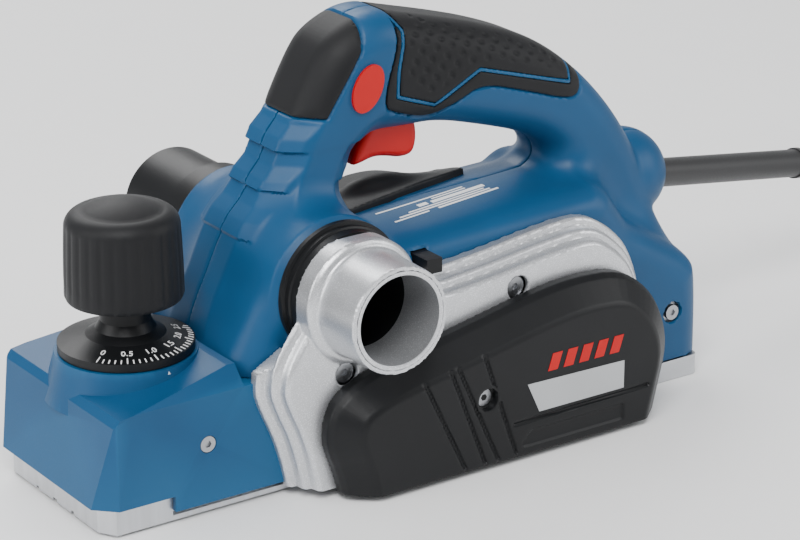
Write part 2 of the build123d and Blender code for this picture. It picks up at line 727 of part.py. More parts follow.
with BuildPart() as belt_guard:
    extrude(rounded_sketch(guard_outline, guard_corners, 0, -GUARD_BACK), amount=GUARD_OUT - GUARD_BACK)
    front_rim = belt_guard.faces().sort_by(Axis.Y)[0].edges()
    chamfer(front_rim, 2.2)
    pocket = rounded_sketch(guard_outline, guard_corners, -GUARD_WALL, -GUARD_BACK)
    extrude(pocket, amount=GUARD_OUT - GUARD_BACK - GUARD_WALL, mode=Mode.SUBTRACT)
    side_disc(
        DUCT_X, DUCT_Z, BOSS_RADIUS + 3, -GUARD_OUT + GUARD_WALL, -GUARD_BACK + 1, Mode.SUBTRACT
    )
    side_disc(DUCT_X, DUCT_Z, NOZZLE_OUT, -NOZZLE_END, -GUARD_OUT + GUARD_WALL)
    side_disc(DUCT_X, DUCT_Z, LINER_OUT, -NOZZLE_END, -HALF, Mode.SUBTRACT)
    box_between((-90, -62), (-HOOD_HALF - FREE, 0), (0, 100), Mode.SUBTRACT)
    for screw_x, screw_z in GUARD_SCREWS:
        side_disc(screw_x, screw_z, 7.0, -GUARD_OUT, -CHEEK_OUT)
        side_disc(screw_x, screw_z, 5.0, -GUARD_OUT - 1, -GUARD_OUT + 4, Mode.SUBTRACT)
        side_disc(screw_x, screw_z, SCREW_SHANK + PUSH, -GUARD_OUT, -CHEEK_IN, Mode.SUBTRACT)
    side_disc(DRUM_X, DRUM_Z, 9, -GUARD_OUT - 1, -HALF, Mode.SUBTRACT)
    side_disc(MOTOR_X, MOTOR_Z, 9, -GUARD_OUT - 1, -HALF, Mode.SUBTRACT)
    side_disc(10.9, 31.0, SCREW_SHANK + PUSH, -GUARD_OUT - 1, -HALF, Mode.SUBTRACT)
save(belt_guard, "belt_guard")

# ---------------------------------------------------------------- belt cover
COVER_OUT = 72.0
COVER_SCREW = (10.9, 31.0)
COVER_LOW = 2.6
cover_outline = [
    (-48, 2.6),
    (-58, 24),
    (-53, 44),
    (-34, 51.8),
    (8, 56.5),
    (62, 66.5),
    (92, 64),
    (109, 42),
    (106, 20),
    (96, 2.6),
]
cover_corners = [6, 20, 22, 40, 60, 24, 24, 24, 30, 5]

with BuildPart() as belt_cover:
    cover_base = rounded_sketch(cover_outline, cover_corners, 0, -GUARD_OUT)
    extrude(cover_base, amount=COVER_OUT - GUARD_OUT)
    outer_rim = belt_cover.faces().sort_by(Axis.Y)[0].edges()
    chamfer(outer_rim.filter_by(lambda e: e.center().Z > COVER_LOW + 0.1), length=9, length2=5)
    cover_pocket = rounded_sketch(cover_outline, cover_corners, -COVER_WALL, -GUARD_OUT)
    extrude(cover_pocket, amount=5, mode=Mode.SUBTRACT)
    deep_pocket = rounded_sketch(cover_outline, cover_corners, -COVER_WALL - 5, -GUARD_OUT)
    cover_depth = COVER_OUT - GUARD_OUT - COVER_WALL
    extrude(deep_pocket, amount=cover_depth, mode=Mode.SUBTRACT)
    box_between(
        (-43, 88), (-GUARD_OUT - cover_depth, -GUARD_OUT), (COVER_LOW + COVER_WALL, 14),
        Mode.SUBTRACT,
    )
    side_disc(*COVER_SCREW, 5.6, -COVER_OUT, -GUARD_OUT)
    side_disc(*COVER_SCREW, 4.2, -COVER_OUT - 1, -COVER_OUT + 5, Mode.SUBTRACT)
    side_disc(*COVER_SCREW, SCREW_SHANK + PUSH, -COVER_OUT, -GUARD_OUT, Mode.SUBTRACT)
save(belt_cover, "belt_cover")

# ---------------------------------------------------------------- depth knob
DIAL_RADIUS = 26.8
DIAL_LOW = COLLAR_TOP + 0.5
STEM_RADIUS = 10.0
CAP_LOW = 79.0
CAP_TOP = 119.0
CAP_RADIUS = 23.3
CAP_SOCKET = 8.0

with BuildPart() as depth_dial:
    with BuildSketch(Plane.XZ) as half_section:
        with BuildLine():
            Polyline(
                (SPINDLE_RADIUS + PUSH, DIAL_LOW),
                (DIAL_RADIUS, DIAL_LOW),
                (DIAL_RADIUS, DIAL_LOW + 3.2),
                (DIAL_RADIUS - 11, DIAL_LOW + 6.2),
                (STEM_RADIUS + 2, DIAL_LOW + 8.5),
                (STEM_RADIUS, DIAL_LOW + 12),
                (STEM_RADIUS, CAP_LOW),
                (CAP_SOCKET - PUSH, CAP_LOW),
                (CAP_SOCKET - PUSH, CAP_LOW + 15),
                (SPINDLE_RADIUS + PUSH, CAP_LOW + 15),
                close=True,
            )
        make_face()
    revolve(half_section.sketch, axis=Axis.Z)
depth_dial.part.position = (KNOB_X, 0, 0)
save(depth_dial, "depth_dial")

with BuildPart() as knob_cap:
    with BuildSketch(Plane.XZ) as half_section:
        with BuildLine():
            Polyline(
                (CAP_SOCKET, CAP_LOW),
                (CAP_RADIUS - 4, CAP_LOW),
                (CAP_RADIUS, CAP_LOW + 5),
                (CAP_RADIUS, CAP_LOW + 12),
                (CAP_RADIUS - 1.2, CAP_TOP - 8),
                (CAP_RADIUS - 6, CAP_TOP - 2),
                (0, CAP_TOP),
                (0, CAP_LOW + 15),
                (CAP_SOCKET, CAP_LOW + 15),
                close=True,
            )
        make_face()
    revolve(half_section.sketch, axis=Axis.Z)
knob_cap.part.position = (KNOB_X, 0, 0)
save(knob_cap, "knob_cap")

with BuildPart() as spindle:
    with BuildSketch(Plane.XY.offset(SHOE_Z + 3.5)) as rod:
        with Locations((KNOB_X, 0)):
            Circle(SPINDLE_RADIUS)
    extrude(rod.sketch, amount=CAP_LOW + 15 - SHOE_Z - 3.5)
save(spindle, "spindle")

with BuildPart() as depth_spring:
    with BuildLine() as coil_line:
        Helix(pitch=2.9, height=DECK_LOW - SPRING_SEAT - 1.9, radius=9.0)
    with BuildSketch(Plane(origin=coil_line.line @ 0, z_dir=coil_line.line % 0)) as wire:
        Circle(0.8)
    sweep(wire.sketch, path=coil_line.line, is_frenet=True)
depth_spring.part.position = (KNOB_X, 0, SPRING_SEAT + 0.95)
save(depth_spring, "depth_spring")

# ---------------------------------------------------------------- cutter drum
DRUM_BODY = DRUM_RADIUS - 1.6
DRUM_HALF = HALF - 0.2
SHAFT_DRUM = BEARING_BORE - RUNNING
PULLEY_DRUM = 15.5
PULLEY_MOTOR = 9.0
PULLEY_FACE = (59.6, 69.4)  # inner and outer face of both pulleys
BLADE_ANGLES = (55.0, 235.0)
BLADE_THICKNESS = 1.1
SLOT_DEPTH = 8.4


def drum_plane(angle):
    """A plane across the drum with local X pointing out along a blade."""
    turn = math.radians(angle)
    return Plane(
        origin=(DRUM_X, DRUM_HALF, DRUM_Z),
        x_dir=(math.cos(turn), 0, math.sin(turn)),
        z_dir=(0, -1, 0),
    )


def drum_bar(angle, out_low, out_high, across_low, across_high, mode=Mode.ADD):
    """A full-length bar in the drum, placed by how far out and how far across it lies."""
    with BuildSketch(drum_plane(angle)) as bar:
        with Locations(((out_low + out_high) / 2, (across_low + across_high) / 2)):
            Rectangle(out_high - out_low, across_high - across_low)
    extrude(bar.sketch, amount=2 * DRUM_HALF, mode=mode)


slot_floor = DRUM_BODY - SLOT_DEPTH
with BuildPart() as cutter_drum:
    side_disc(DRUM_X, DRUM_Z, DRUM_BODY, -DRUM_HALF, DRUM_HALF)
    for angle in BLADE_ANGLES:
        drum_bar(angle, slot_floor, DRUM_BODY + 2, 0, 7, Mode.SUBTRACT)
    side_disc(DRUM_X, DRUM_Z, SHAFT_DRUM + 1.5, -CHEEK_IN + 0.1, CHEEK_IN - 0.1)
    side_disc(DRUM_X, DRUM_Z, SHAFT_DRUM, -PULLEY_FACE[1] - 0.2, CHEEK_IN + BEARING_WIDTH)
save(cutter_drum, "cutter_drum")

with BuildPart() as blades:
    for angle in BLADE_ANGLES:
        drum_bar(angle, DRUM_RADIUS - 5.5, DRUM_RADIUS, 0, BLADE_THICKNESS)
save(blades, "blades")

with BuildPart() as blade_clamps:
    for angle in BLADE_ANGLES:
        drum_bar(angle, slot_floor + 0.1, DRUM_BODY - 1.6, BLADE_THICKNESS, 6.9)
save(blade_clamps, "blade_clamps")

with BuildPart() as drum_bearings:
    for low in (-CHEEK_IN - BEARING_WIDTH, CHEEK_IN):
        side_disc(DRUM_X, DRUM_Z, BEARING_OUT - PUSH, low, low + BEARING_WIDTH)
        side_disc(DRUM_X, DRUM_Z, BEARING_BORE, low - 1, low + BEARING_WIDTH + 1, Mode.SUBTRACT)
save(drum_bearings, "drum_bearings")

for label, axis_x, axis_z, radius, bore, hub_end, hub_radius in (
    ("drum_pulley", DRUM_X, DRUM_Z, PULLEY_DRUM, SHAFT_DRUM, CHEEK_IN + BEARING_WIDTH + 0.3, 7.5),
    ("motor_pulley", MOTOR_X, MOTOR_Z, PULLEY_MOTOR, MOTOR_BEARING_BORE - RUNNING,
     CHEEK_IN + MOTOR_BEARING_WIDTH + 1.0, 6.5),
):
    with BuildPart() as pulley:
        side_disc(axis_x, axis_z, radius, -PULLEY_FACE[1], -PULLEY_FACE[0])
        side_disc(axis_x, axis_z, hub_radius, -PULLEY_FACE[0], -hub_end)
        for index in range(3):
            groove_y = -PULLEY_FACE[1] + 2.5 + 2.4 * index
            side_disc(axis_x, axis_z, radius + 1, groove_y, groove_y + 1.0, Mode.SUBTRACT)
            side_disc(axis_x, axis_z, radius - 1, groove_y, groove_y + 1.0)
        side_disc(axis_x, axis_z, bore + PUSH, -PULLEY_FACE[1] - 1, -HALF, Mode.SUBTRACT)
    save(pulley, label)

BELT_THICKNESS = 2.2
BELT_FACE = (60.0, 69.0)


def belt_loop(grow):
    """The outline round both pulleys, that much outside their rims."""
    with BuildSketch(side_plane(-BELT_FACE[0])) as loop:
        with Locations((DRUM_X, DRUM_Z)):
            Circle(PULLEY_DRUM + RUNNING + grow)
        with Locations((MOTOR_X, MOTOR_Z)):
            Circle(PULLEY_MOTOR + RUNNING + grow)
        make_hull()
    return loop.sketch


with BuildPart() as drive_belt:
    extrude(belt_loop(BELT_THICKNESS), amount=BELT_FACE[1] - BELT_FACE[0])
    extrude(belt_loop(0), amount=BELT_FACE[1] - BELT_FACE[0], mode=Mode.SUBTRACT)
save(drive_belt, "drive_belt")

# ---------------------------------------------------------------- motor
STATOR_Y = (-23.0, 9.0)
STATOR_BORE = 18.2
AIR_GAP = 0.6
COMMUTATOR_Y = (13.5, 25.0)
COMMUTATOR_RADIUS = 11.0
BRUSH_Y = 19.3
MOTOR_SHAFT = MOTOR_BEARING_BORE - RUNNING

with BuildPart() as stator:
    side_disc(MOTOR_X, MOTOR_Z, STATOR_RADIUS, *STATOR_Y)
    side_disc(MOTOR_X, MOTOR_Z, STATOR_BORE, STATOR_Y[0] - 1, STATOR_Y[1] + 1, Mode.SUBTRACT)
save(stator, "stator")

with BuildPart() as field_windings:
    for low, high in ((STATOR_Y[0] - 4.5, STATOR_Y[0]), (STATOR_Y[1], STATOR_Y[1] + 3.5)):
        side_disc(MOTOR_X, MOTOR_Z, STATOR_RADIUS - 1.5, low, high)
        side_disc(MOTOR_X, MOTOR_Z, STATOR_BORE + 1, low - 1, high + 1, Mode.SUBTRACT)
save(field_windings, "field_windings")

with BuildPart() as armature:
    side_disc(MOTOR_X, MOTOR_Z, STATOR_BORE - AIR_GAP, STATOR_Y[0] + 1, STATOR_Y[1] - 1)
    side_disc(MOTOR_X, MOTOR_Z, 14, STATOR_Y[0] - 3, STATOR_Y[1] + 3)
    side_disc(MOTOR_X, MOTOR_Z, MOTOR_SHAFT, -60, 60, Mode.SUBTRACT)
save(armature, "armature")

with BuildPart() as motor_shaft:
    side_disc(MOTOR_X, MOTOR_Z, MOTOR_SHAFT, -PULLEY_FACE[1] - 0.4, HALF - WALL - 0.3)
save(motor_shaft, "motor_shaft")

with BuildPart() as commutator:
    side_disc(MOTOR_X, MOTOR_Z, COMMUTATOR_RADIUS, *COMMUTATOR_Y)
    side_disc(MOTOR_X, MOTOR_Z, MOTOR_SHAFT, -60, 60, Mode.SUBTRACT)
save(commutator, "commutator")

FAN_Y = (-38.0, -30.0)
with BuildPart() as fan:
    side_disc(MOTOR_X, MOTOR_Z, STATOR_RADIUS - 2, FAN_Y[1] - 1.6, FAN_Y[1])
    side_disc(MOTOR_X, MOTOR_Z, 8, *FAN_Y)
    with BuildSketch(side_plane(FAN_Y[1] - 1.6)) as vanes:
        with Locations((MOTOR_X, MOTOR_Z)):
            with PolarLocations(17.5, 12):
                Rectangle(20, 1.4)
    extrude(vanes.sketch, amount=FAN_Y[1] - FAN_Y[0] - 1.6)
    side_disc(MOTOR_X, MOTOR_Z, MOTOR_SHAFT, -60, 60, Mode.SUBTRACT)
save(fan, "fan")

with BuildPart() as motor_bearings:
    left_low = -CHEEK_IN - MOTOR_BEARING_WIDTH
    for low in (left_low, 31.0):
        side_disc(MOTOR_X, MOTOR_Z, MOTOR_BEARING_OUT - PUSH, low, low + MOTOR_BEARING_WIDTH)
    side_disc(MOTOR_X, MOTOR_Z, MOTOR_BEARING_BORE, -60, 60, Mode.SUBTRACT)
save(motor_bearings, "motor_bearings")

BRUSH_HALF = (3.0, 4.0)  # half height, half width
with BuildPart() as brushes:
    for side in (-1, 1):
        reach = sorted((MOTOR_X + side * 24, MOTOR_X + side * (COMMUTATOR_RADIUS + 0.05)))
        box_between(
            reach,
            (BRUSH_Y - BRUSH_HALF[1], BRUSH_Y + BRUSH_HALF[1]),
            (MOTOR_Z - BRUSH_HALF[0], MOTOR_Z + BRUSH_HALF[0]),
        )
save(brushes, "brushes")

with BuildPart() as brush_holders:
    for side in (-1, 1):
        reach = sorted((MOTOR_X + side * 29.6, MOTOR_X + side * 13))
        way = sorted((MOTOR_X + side * 24.5, MOTOR_X + side * 12))
        box_between(
            reach,
            (BRUSH_Y - BRUSH_HALF[1] - 1.8, BRUSH_Y + BRUSH_HALF[1] + 1.8),
            (MOTOR_Z - BRUSH_HALF[0] - 1.8, MOTOR_Z + BRUSH_HALF[0] + 1.8),
        )
        box_between(
            way,
            (BRUSH_Y - BRUSH_HALF[1] - 0.1, BRUSH_Y + BRUSH_HALF[1] + 0.1),
            (MOTOR_Z - BRUSH_HALF[0] - 0.1, MOTOR_Z + BRUSH_HALF[0] + 0.1),
            Mode.SUBTRACT,
        )
save(brush_holders, "brush_holders")

# ---------------------------------------------------------------- switch, trigger, lock
TRIGGER_TRAVEL = 5.0

with BuildPart() as switch_body:
    box_between(SWITCH_X, (-SWITCH_HALF, SWITCH_HALF), SWITCH_Z)
    fillet(switch_body.edges().filter_by(Axis.Y), 1.5)
save(switch_body, "switch_body")

trigger_outline = [
    (-12.3, 112.5),
    (-10.0, 129),
    (-10.0, 134),
    (16.5, 134),
    (18, 123),
    (13.5, 113.5),
    (2, 116.5),
    (-6, 117),
]
with BuildPart() as trigger:
    with BuildSketch(side_plane(TRIGGER_HALF)) as side:
        with BuildLine():
            FilletPolyline(*trigger_outline, radius=[1.5, 3, 2, 2, 3, 1.5, 8, 4], close=True)
        make_face()
    extrude(side.sketch, amount=2 * TRIGGER_HALF)
save(trigger, "trigger")

LOCK_TRAVEL = 2.5
with BuildPart() as lock_button:
    with BuildSketch(side_plane(-HANDLE_HALF + 4.5)) as cap:
        with Locations(Location((LOCK_X, LOCK_Z), LEAN)):
            Ellipse(6.5, 10)
    extrude(cap.sketch, amount=5.7)
    with BuildSketch(side_plane(HANDLE_HALF + 1.2)) as far_cap:
        with Locations(Location((LOCK_X, LOCK_Z), LEAN)):
            Ellipse(6.5, 10)
    extrude(far_cap.sketch, amount=5.7)
    side_disc(LOCK_X, LOCK_Z, 4.5, -HANDLE_HALF + 2, HANDLE_HALF - 2)
save(lock_button, "lock_button")

# ---------------------------------------------------------------- screws
HEAD_RADIUS = 3.3


def side_screw(x, z, head_y, length, side, head_radius=HEAD_RADIUS):
    """A pan-head screw along Y with its head outside at head_y, on the side of that sign."""
    head = sorted((head_y, head_y - side * 1.6))
    shank = sorted((head_y - side * 1.6, head_y - side * (1.6 + length)))
    side_disc(x, z, head_radius, *head)
    side_disc(x, z, SCREW_SHANK, *shank)
    socket = sorted((head_y + side, head_y - side * 0.9))
    with BuildSketch(side_plane(socket[1])) as recess:
        with Locations((x, z)):
            RegularPolygon(1.5, 6)
    extrude(recess.sketch, amount=socket[1] - socket[0], mode=Mode.SUBTRACT)


with BuildPart() as hood_screws:
    for side in (-1, 1):
        side_screw(HOOD_SCREW_X, HOOD_SCREW_Z, side * (HOOD_HALF - 0.2), 9, side)
save(hood_screws, "hood_screws")

with BuildPart() as rear_screws:
    for side in (-1, 1):
        side_screw(LUG_X, LUG_Z, side * (HALF - 0.2), 8, side)
save(rear_screws, "rear_screws")

with BuildPart() as guard_screws:
    for screw_x, screw_z in GUARD_SCREWS:
        side_screw(screw_x, screw_z, -GUARD_OUT + 2.4, 9.5, -1, 4.2)
save(guard_screws, "guard_screws")

with BuildPart() as cover_screw:
    side_screw(*COVER_SCREW, -COVER_OUT + 3.4, 13.5, -1, 3.6)
save(cover_screw, "cover_screw")

with BuildPart() as half_screws:
    for screw_x, screw_z in HALF_SCREWS:
        side_screw(screw_x, screw_z, 13.6, 19, 1)
save(half_screws, "half_screws")

# ---------------------------------------------------------------- cord
CORD_RADIUS = CORD_DIAMETER / 2
SLEEVE_BORE = CORD_RADIUS + 1.05
CORD_DROP = 0.9
sleeve_plane = Plane(origin=sleeve_point(SLEEVE_START), x_dir=(0, 1, 0), z_dir=SLEEVE_DIRECTION)
with BuildPart() as cord_sleeve:
    with BuildSketch(sleeve_plane):
        Circle(SLEEVE_RADIUS)
    extrude(amount=SLEEVE_END - SLEEVE_START)
    with BuildSketch(sleeve_plane.offset(SLEEVE_END - SLEEVE_START - 3)):
        Circle(SLEEVE_RADIUS + 0.7)
    extrude(amount=3)
    with BuildSketch(sleeve_plane):
        Circle(SLEEVE_BORE)
    extrude(amount=SLEEVE_END, mode=Mode.SUBTRACT)
save(cord_sleeve, "cord_sleeve")

with BuildPart() as cord_clamp:
    with BuildSketch(Plane(origin=sleeve_point(3), x_dir=(0, 1, 0), z_dir=SLEEVE_DIRECTION)):
        Rectangle(18, 18)
        Circle(CORD_RADIUS + 0.1, mode=Mode.SUBTRACT)
    extrude(amount=6)
save(cord_clamp, "cord_clamp")

COIL_X = 380.0
COIL_Y = -5.0
COIL_RINGS = 3
COIL_LAYERS = 3
COIL_INNER = 30.0
COIL_LIFT = 1.3
coil_outer = COIL_INNER + COIL_RINGS * CORD_DIAMETER
coil_high = COIL_LIFT + COIL_LAYERS * CORD_DIAMETER
ring_high = coil_outer - CORD_RADIUS

cord_points = [
    (141.1, 3.7, 77.9),
    (205.3, 13.2, 65.6),
    (270.5, 22.8, 53.1),
    (313.0, 33.0, 29.0),
    (350.0, 41.0, 5.4),
    (380.0, 43.75, 5.05),
]
tail_points = [
    (345.5, 29.5, 20.05),
    (367.5, 51.5, 18.2),
    (391.0, 75.0, 13.0),
    (411.0, 95.0, 13.0),
]


def cord_tube(points):
    """A cord solid along hand-placed points, its corners turned into wide tangent arcs."""
    runs = [(Vector(b) - Vector(a)).length for a, b in zip(points, points[1:])]
    radii = []
    for index in range(1, len(points) - 1):
        before = Vector(points[index]) - Vector(points[index - 1])
        after = Vector(points[index + 1]) - Vector(points[index])
        turn = math.radians(before.get_angle(after))
        radii.append(0.45 * min(runs[index - 1], runs[index]) / math.tan(turn / 2))
    print("bend radii", [round(r) for r in radii])
    with BuildPart() as tube:
        with BuildLine() as route:
            FilletPolyline(*points, radius=radii)
        with BuildSketch(Plane(origin=route.line @ 0, z_dir=route.line % 0)) as section:
            Circle(CORD_RADIUS)
        sweep(section.sketch, path=route.line)
    length = route.wire().length
    filled = tube.part.volume / (math.pi * CORD_RADIUS**2 * length)
    print("length", round(length, 1), "volume ratio", round(filled, 4))
    return tube.part


with BuildPart() as cord_coil:
    with BuildSketch(Plane.XY.offset(COIL_LIFT)) as ring:
        with Locations((COIL_X, COIL_Y)):
            Circle(coil_outer)
            Circle(COIL_INNER, mode=Mode.SUBTRACT)
    extrude(ring.sketch, amount=coil_high - COIL_LIFT)
    fillet(cord_coil.edges().filter_by(GeomType.CIRCLE), 3.0)
save(cord_coil, "cord_coil")

COIL_GAP = 0.1
with BuildPart() as coil_space:
    with BuildSketch(Plane.XY.offset(COIL_LIFT - COIL_GAP)) as ring:
        with Locations((COIL_X, COIL_Y)):
            Circle(coil_outer + COIL_GAP)
            Circle(COIL_INNER - COIL_GAP, mode=Mode.SUBTRACT)
    extrude(ring.sketch, amount=coil_high - COIL_LIFT + 2 * COIL_GAP)

with BuildPart() as cord:
    add(cord_tube(cord_points))
    add(coil_space.part, mode=Mode.SUBTRACT)
save(cord, "cord")

with BuildPart() as cord_tail:
    add(cord_tube(tail_points))
    add(coil_space.part, mode=Mode.SUBTRACT)
save(cord_tail, "cord_tail")
for name, piece in (("cord", cord), ("tail", cord_tail)):
    print(name, [round(s.volume) for s in piece.solids()])

TIE_THICKNESS = 1.2
TIE_WIDTH = 9.0
with BuildPart() as cord_tie:
    box_between(
        (COIL_X + COIL_INNER - TIE_THICKNESS - 0.05, COIL_X + coil_outer + TIE_THICKNESS + 0.05),
        (COIL_Y - TIE_WIDTH / 2, COIL_Y + TIE_WIDTH / 2),
        (COIL_LIFT - TIE_THICKNESS, coil_high + TIE_THICKNESS),
    )
    fillet(cord_tie.edges().filter_by(Axis.Y), 3.0)
    box_between(
        (COIL_X + COIL_INNER - 0.6, COIL_X + coil_outer + 0.05),
        (COIL_Y - TIE_WIDTH, COIL_Y + TIE_WIDTH),
        (COIL_LIFT, coil_high),
        Mode.SUBTRACT,
    )
save(cord_tie, "cord_tie")

PLUG_HEIGHT = 26.0
plug_way = Vector(tail_points[-1]) - Vector(tail_points[-2])
plug_way = Vector(plug_way.X, plug_way.Y, 0).normalized()
plug_plane = Plane(origin=tail_points[-1], x_dir=(-plug_way.Y, plug_way.X, 0), z_dir=plug_way)
with BuildPart() as plug:
    with BuildSketch(plug_plane) as neck:
        Circle(6)
    with BuildSketch(plug_plane.offset(14)) as shoulder:
        RectangleRounded(36, PLUG_HEIGHT, 9)
    loft([neck.sketch.face(), shoulder.sketch.face()])
    extrude(shoulder.sketch, amount=30)
save(plug, "plug")

with BuildPart() as plug_pins:
    with BuildSketch(plug_plane.offset(44)) as pins:
        with Locations((-9.5, 0), (9.5, 0)):
            Circle(2.4)
    extrude(pins.sketch, amount=19)
save(plug_pins, "plug_pins")
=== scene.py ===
"""Electric hand planer: the finished look of every piece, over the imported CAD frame.

The frame's X runs from toe to heel, Y to the far side, Z up, with the rear sole on Z = 0.
Sizes in the classes are in millimetres; meshes are written in metres.
"""

import logging
import math
from dataclasses import dataclass, field
from enum import Enum
from typing import Callable, Sequence

import bpy
import numpy as np
from mathutils import Matrix, Vector

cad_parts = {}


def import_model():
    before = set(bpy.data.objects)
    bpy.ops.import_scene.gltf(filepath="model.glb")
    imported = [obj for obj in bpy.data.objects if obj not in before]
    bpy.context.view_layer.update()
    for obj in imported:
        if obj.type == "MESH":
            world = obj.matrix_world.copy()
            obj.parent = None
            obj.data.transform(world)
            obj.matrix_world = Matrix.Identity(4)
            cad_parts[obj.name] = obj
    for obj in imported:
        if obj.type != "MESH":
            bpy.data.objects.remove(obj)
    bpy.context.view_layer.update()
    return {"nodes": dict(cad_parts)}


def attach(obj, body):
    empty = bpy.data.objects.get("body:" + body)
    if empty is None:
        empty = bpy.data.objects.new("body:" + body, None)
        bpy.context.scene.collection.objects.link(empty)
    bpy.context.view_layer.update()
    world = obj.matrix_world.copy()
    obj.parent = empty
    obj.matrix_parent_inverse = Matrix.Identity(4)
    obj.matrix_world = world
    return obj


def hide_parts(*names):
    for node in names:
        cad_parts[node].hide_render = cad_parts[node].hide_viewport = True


log = logging.getLogger("planer")
MM = 0.001
Array = np.ndarray
Outline = Sequence[tuple[float, float]]
Field = Callable[[Array, Array, Array], Array]


class Side(Enum):
    """Which half of a split shell a piece is; the value is the sign of its Y."""

    BELT = -1
    FAR = 1


# ------------------------------------------------------------------ finishes
CLOUD_SCALE = 38.0  # the broad mottle's noise scale
NOISE_SPAN = (0.3, 0.7)  # where most of a noise pattern's values lie
SPECKLE_SPAN = (0.56, 0.66)  # the noise values over which a speckle comes in
EDGE_HIGHLIGHT_SPAN = (0.54, 0.62)  # the pointiness over which a convex edge takes its painted highlight


@dataclass(frozen=True)
class Finish:
    """How a surface is finished: its colour, gloss, grain and a painted highlight on its convex edges.

    Grain sizes are noise scales per metre; bump is a height in millimetres.
    """

    name: str
    colour: tuple[float, float, float]
    roughness: float = 0.5
    metallic: float = 0.0
    coat: float = 0.0
    sheen: float = 0.0
    specular: float = 0.5
    grain: float = 900.0
    bump: float = 0.05
    mottle: float = 0.08
    stretch: tuple[float, float, float] = (1.0, 1.0, 1.0)
    speckle: tuple[float, float, float] | None = None
    speckle_scale: float = 1400.0
    # a lighter colour laid on convex edges: a painted edge highlight
    edge_highlight: tuple[float, float, float] | None = None

    def material(self) -> bpy.types.Material:
        """Build the material once and hand the same one out after that.

        Returns:
            The procedural material of this finish.
        """
        known = bpy.data.materials.get(self.name)
        if known is not None:
            return known
        mat = bpy.data.materials.new(self.name)
        mat.use_nodes = True
        tree = mat.node_tree
        nodes, links = tree.nodes, tree.links
        shader = nodes["Principled BSDF"]
        shader.inputs["Metallic"].default_value = self.metallic
        shader.inputs["Coat Weight"].default_value = self.coat
        shader.inputs["Coat Roughness"].default_value = 0.12
        shader.inputs["Sheen Weight"].default_value = self.sheen
        shader.inputs["Specular IOR Level"].default_value = self.specular
        place = nodes.new("ShaderNodeTexCoord")
        mapping = nodes.new("ShaderNodeMapping")
        mapping.inputs["Scale"].default_value = self.stretch
        links.new(place.outputs["Object"], mapping.inputs["Vector"])

        def noise(scale: float, detail: float, at: bpy.types.NodeSocket) -> bpy.types.NodeSocket:
            """One noise pattern on the piece's own coordinates."""
            node = nodes.new("ShaderNodeTexNoise")
            node.inputs["Scale"].default_value = scale
            node.inputs["Detail"].default_value = detail
            links.new(at, node.inputs["Vector"])
            return node.outputs["Fac"]

        def spread(value: bpy.types.NodeSocket, low: float, high: float,
                   source: tuple[float, float] = NOISE_SPAN) -> bpy.types.NodeSocket:
            """A value's source range stretched over low to high."""
            node = nodes.new("ShaderNodeMapRange")
            for key, number in zip(("From Min", "From Max", "To Min", "To Max"), (*source, low, high)):
                node.inputs[key].default_value = number
            links.new(value, node.inputs["Value"])
            return node.outputs["Result"]

        def mixed(factor: bpy.types.NodeSocket, base: object,
                  over: tuple[float, float, float]) -> bpy.types.NodeSocket:
            """Base colour or socket with another colour laid over it by the factor."""
            node = nodes.new("ShaderNodeMix")
            node.data_type = "RGBA"
            links.new(factor, node.inputs["Factor"])
            if isinstance(base, tuple):
                node.inputs["A"].default_value = (*base, 1.0)
            else:
                links.new(base, node.inputs["A"])
            node.inputs["B"].default_value = (*over, 1.0)
            return node.outputs["Result"]

        stretched = mapping.outputs["Vector"]
        cloud = noise(CLOUD_SCALE, 3.0, stretched)
        fine = noise(self.grain, 2.0, stretched)
        darker = tuple(c * (1.0 - 2.2 * self.mottle) for c in self.colour)
        colour = mixed(spread(cloud, 0.0, 1.0), self.colour, darker)
        if self.speckle is not None:
            dots = noise(self.speckle_scale, 1.0, place.outputs["Object"])
            colour = mixed(spread(dots, 0.0, 1.0, SPECKLE_SPAN), colour, self.speckle)
        # Painted highlight: a lighter colour mixed in where the edges are convex (high pointiness).
        if self.edge_highlight is not None:
            shape = nodes.new("ShaderNodeNewGeometry")
            colour = mixed(spread(shape.outputs["Pointiness"], 0.0, 0.5, EDGE_HIGHLIGHT_SPAN), colour, self.edge_highlight)
        links.new(colour, shader.inputs["Base Color"])
        links.new(spread(fine, self.roughness - 0.05, self.roughness + 0.06), shader.inputs["Roughness"])
        bump = nodes.new("ShaderNodeBump")
        bump.inputs["Strength"].default_value = 0.7
        bump.inputs["Distance"].default_value = self.bump * MM
        links.new(fine, bump.inputs["Height"])
        links.new(bump.outputs["Normal"], shader.inputs["Normal"])
        return mat


# BLUE's lighter edge colour is a painted highlight along its convex edges.
BLUE = Finish("mid_blue_plastic", (0.002, 0.060, 0.155), 0.44, specular=0.3, grain=2600, bump=0.05, mottle=0.05,
              edge_highlight=(0.01, 0.11, 0.24))
SOFT_BLACK = Finish("soft_charcoal_grip", (0.005, 0.0053, 0.0065), 0.55, specular=0.26, sheen=0.03, grain=3200,
                    bump=0.06, mottle=0.1)
BLACK = Finish("charcoal_plastic", (0.0055, 0.006, 0.007), 0.42, specular=0.26, grain=2200, bump=0.05, mottle=0.1)
GREY = Finish("dark_grey_plastic", (0.012, 0.013, 0.015), 0.5, specular=0.22, grain=2200, bump=0.05, mottle=0.08)
GUARD = Finish(
    "silver_speckled_paint", (0.60, 0.61, 0.63), 0.36, 0.8, grain=1800, bump=0.03, mottle=0.04,
    speckle=(0.82, 0.83, 0.85), speckle_scale=2600,
)
RED = Finish("bright_red_plastic", (0.50, 0.001, 0.001), 0.38, specular=0.25, grain=1600, bump=0.02, mottle=0.06,
             coat=0.08)
SHOE = Finish(
    "brushed_aluminium", (0.62, 0.63, 0.65), 0.36, 1.0, grain=260, bump=0.05, mottle=0.06, stretch=(6.0, 6.0, 0.35),
)
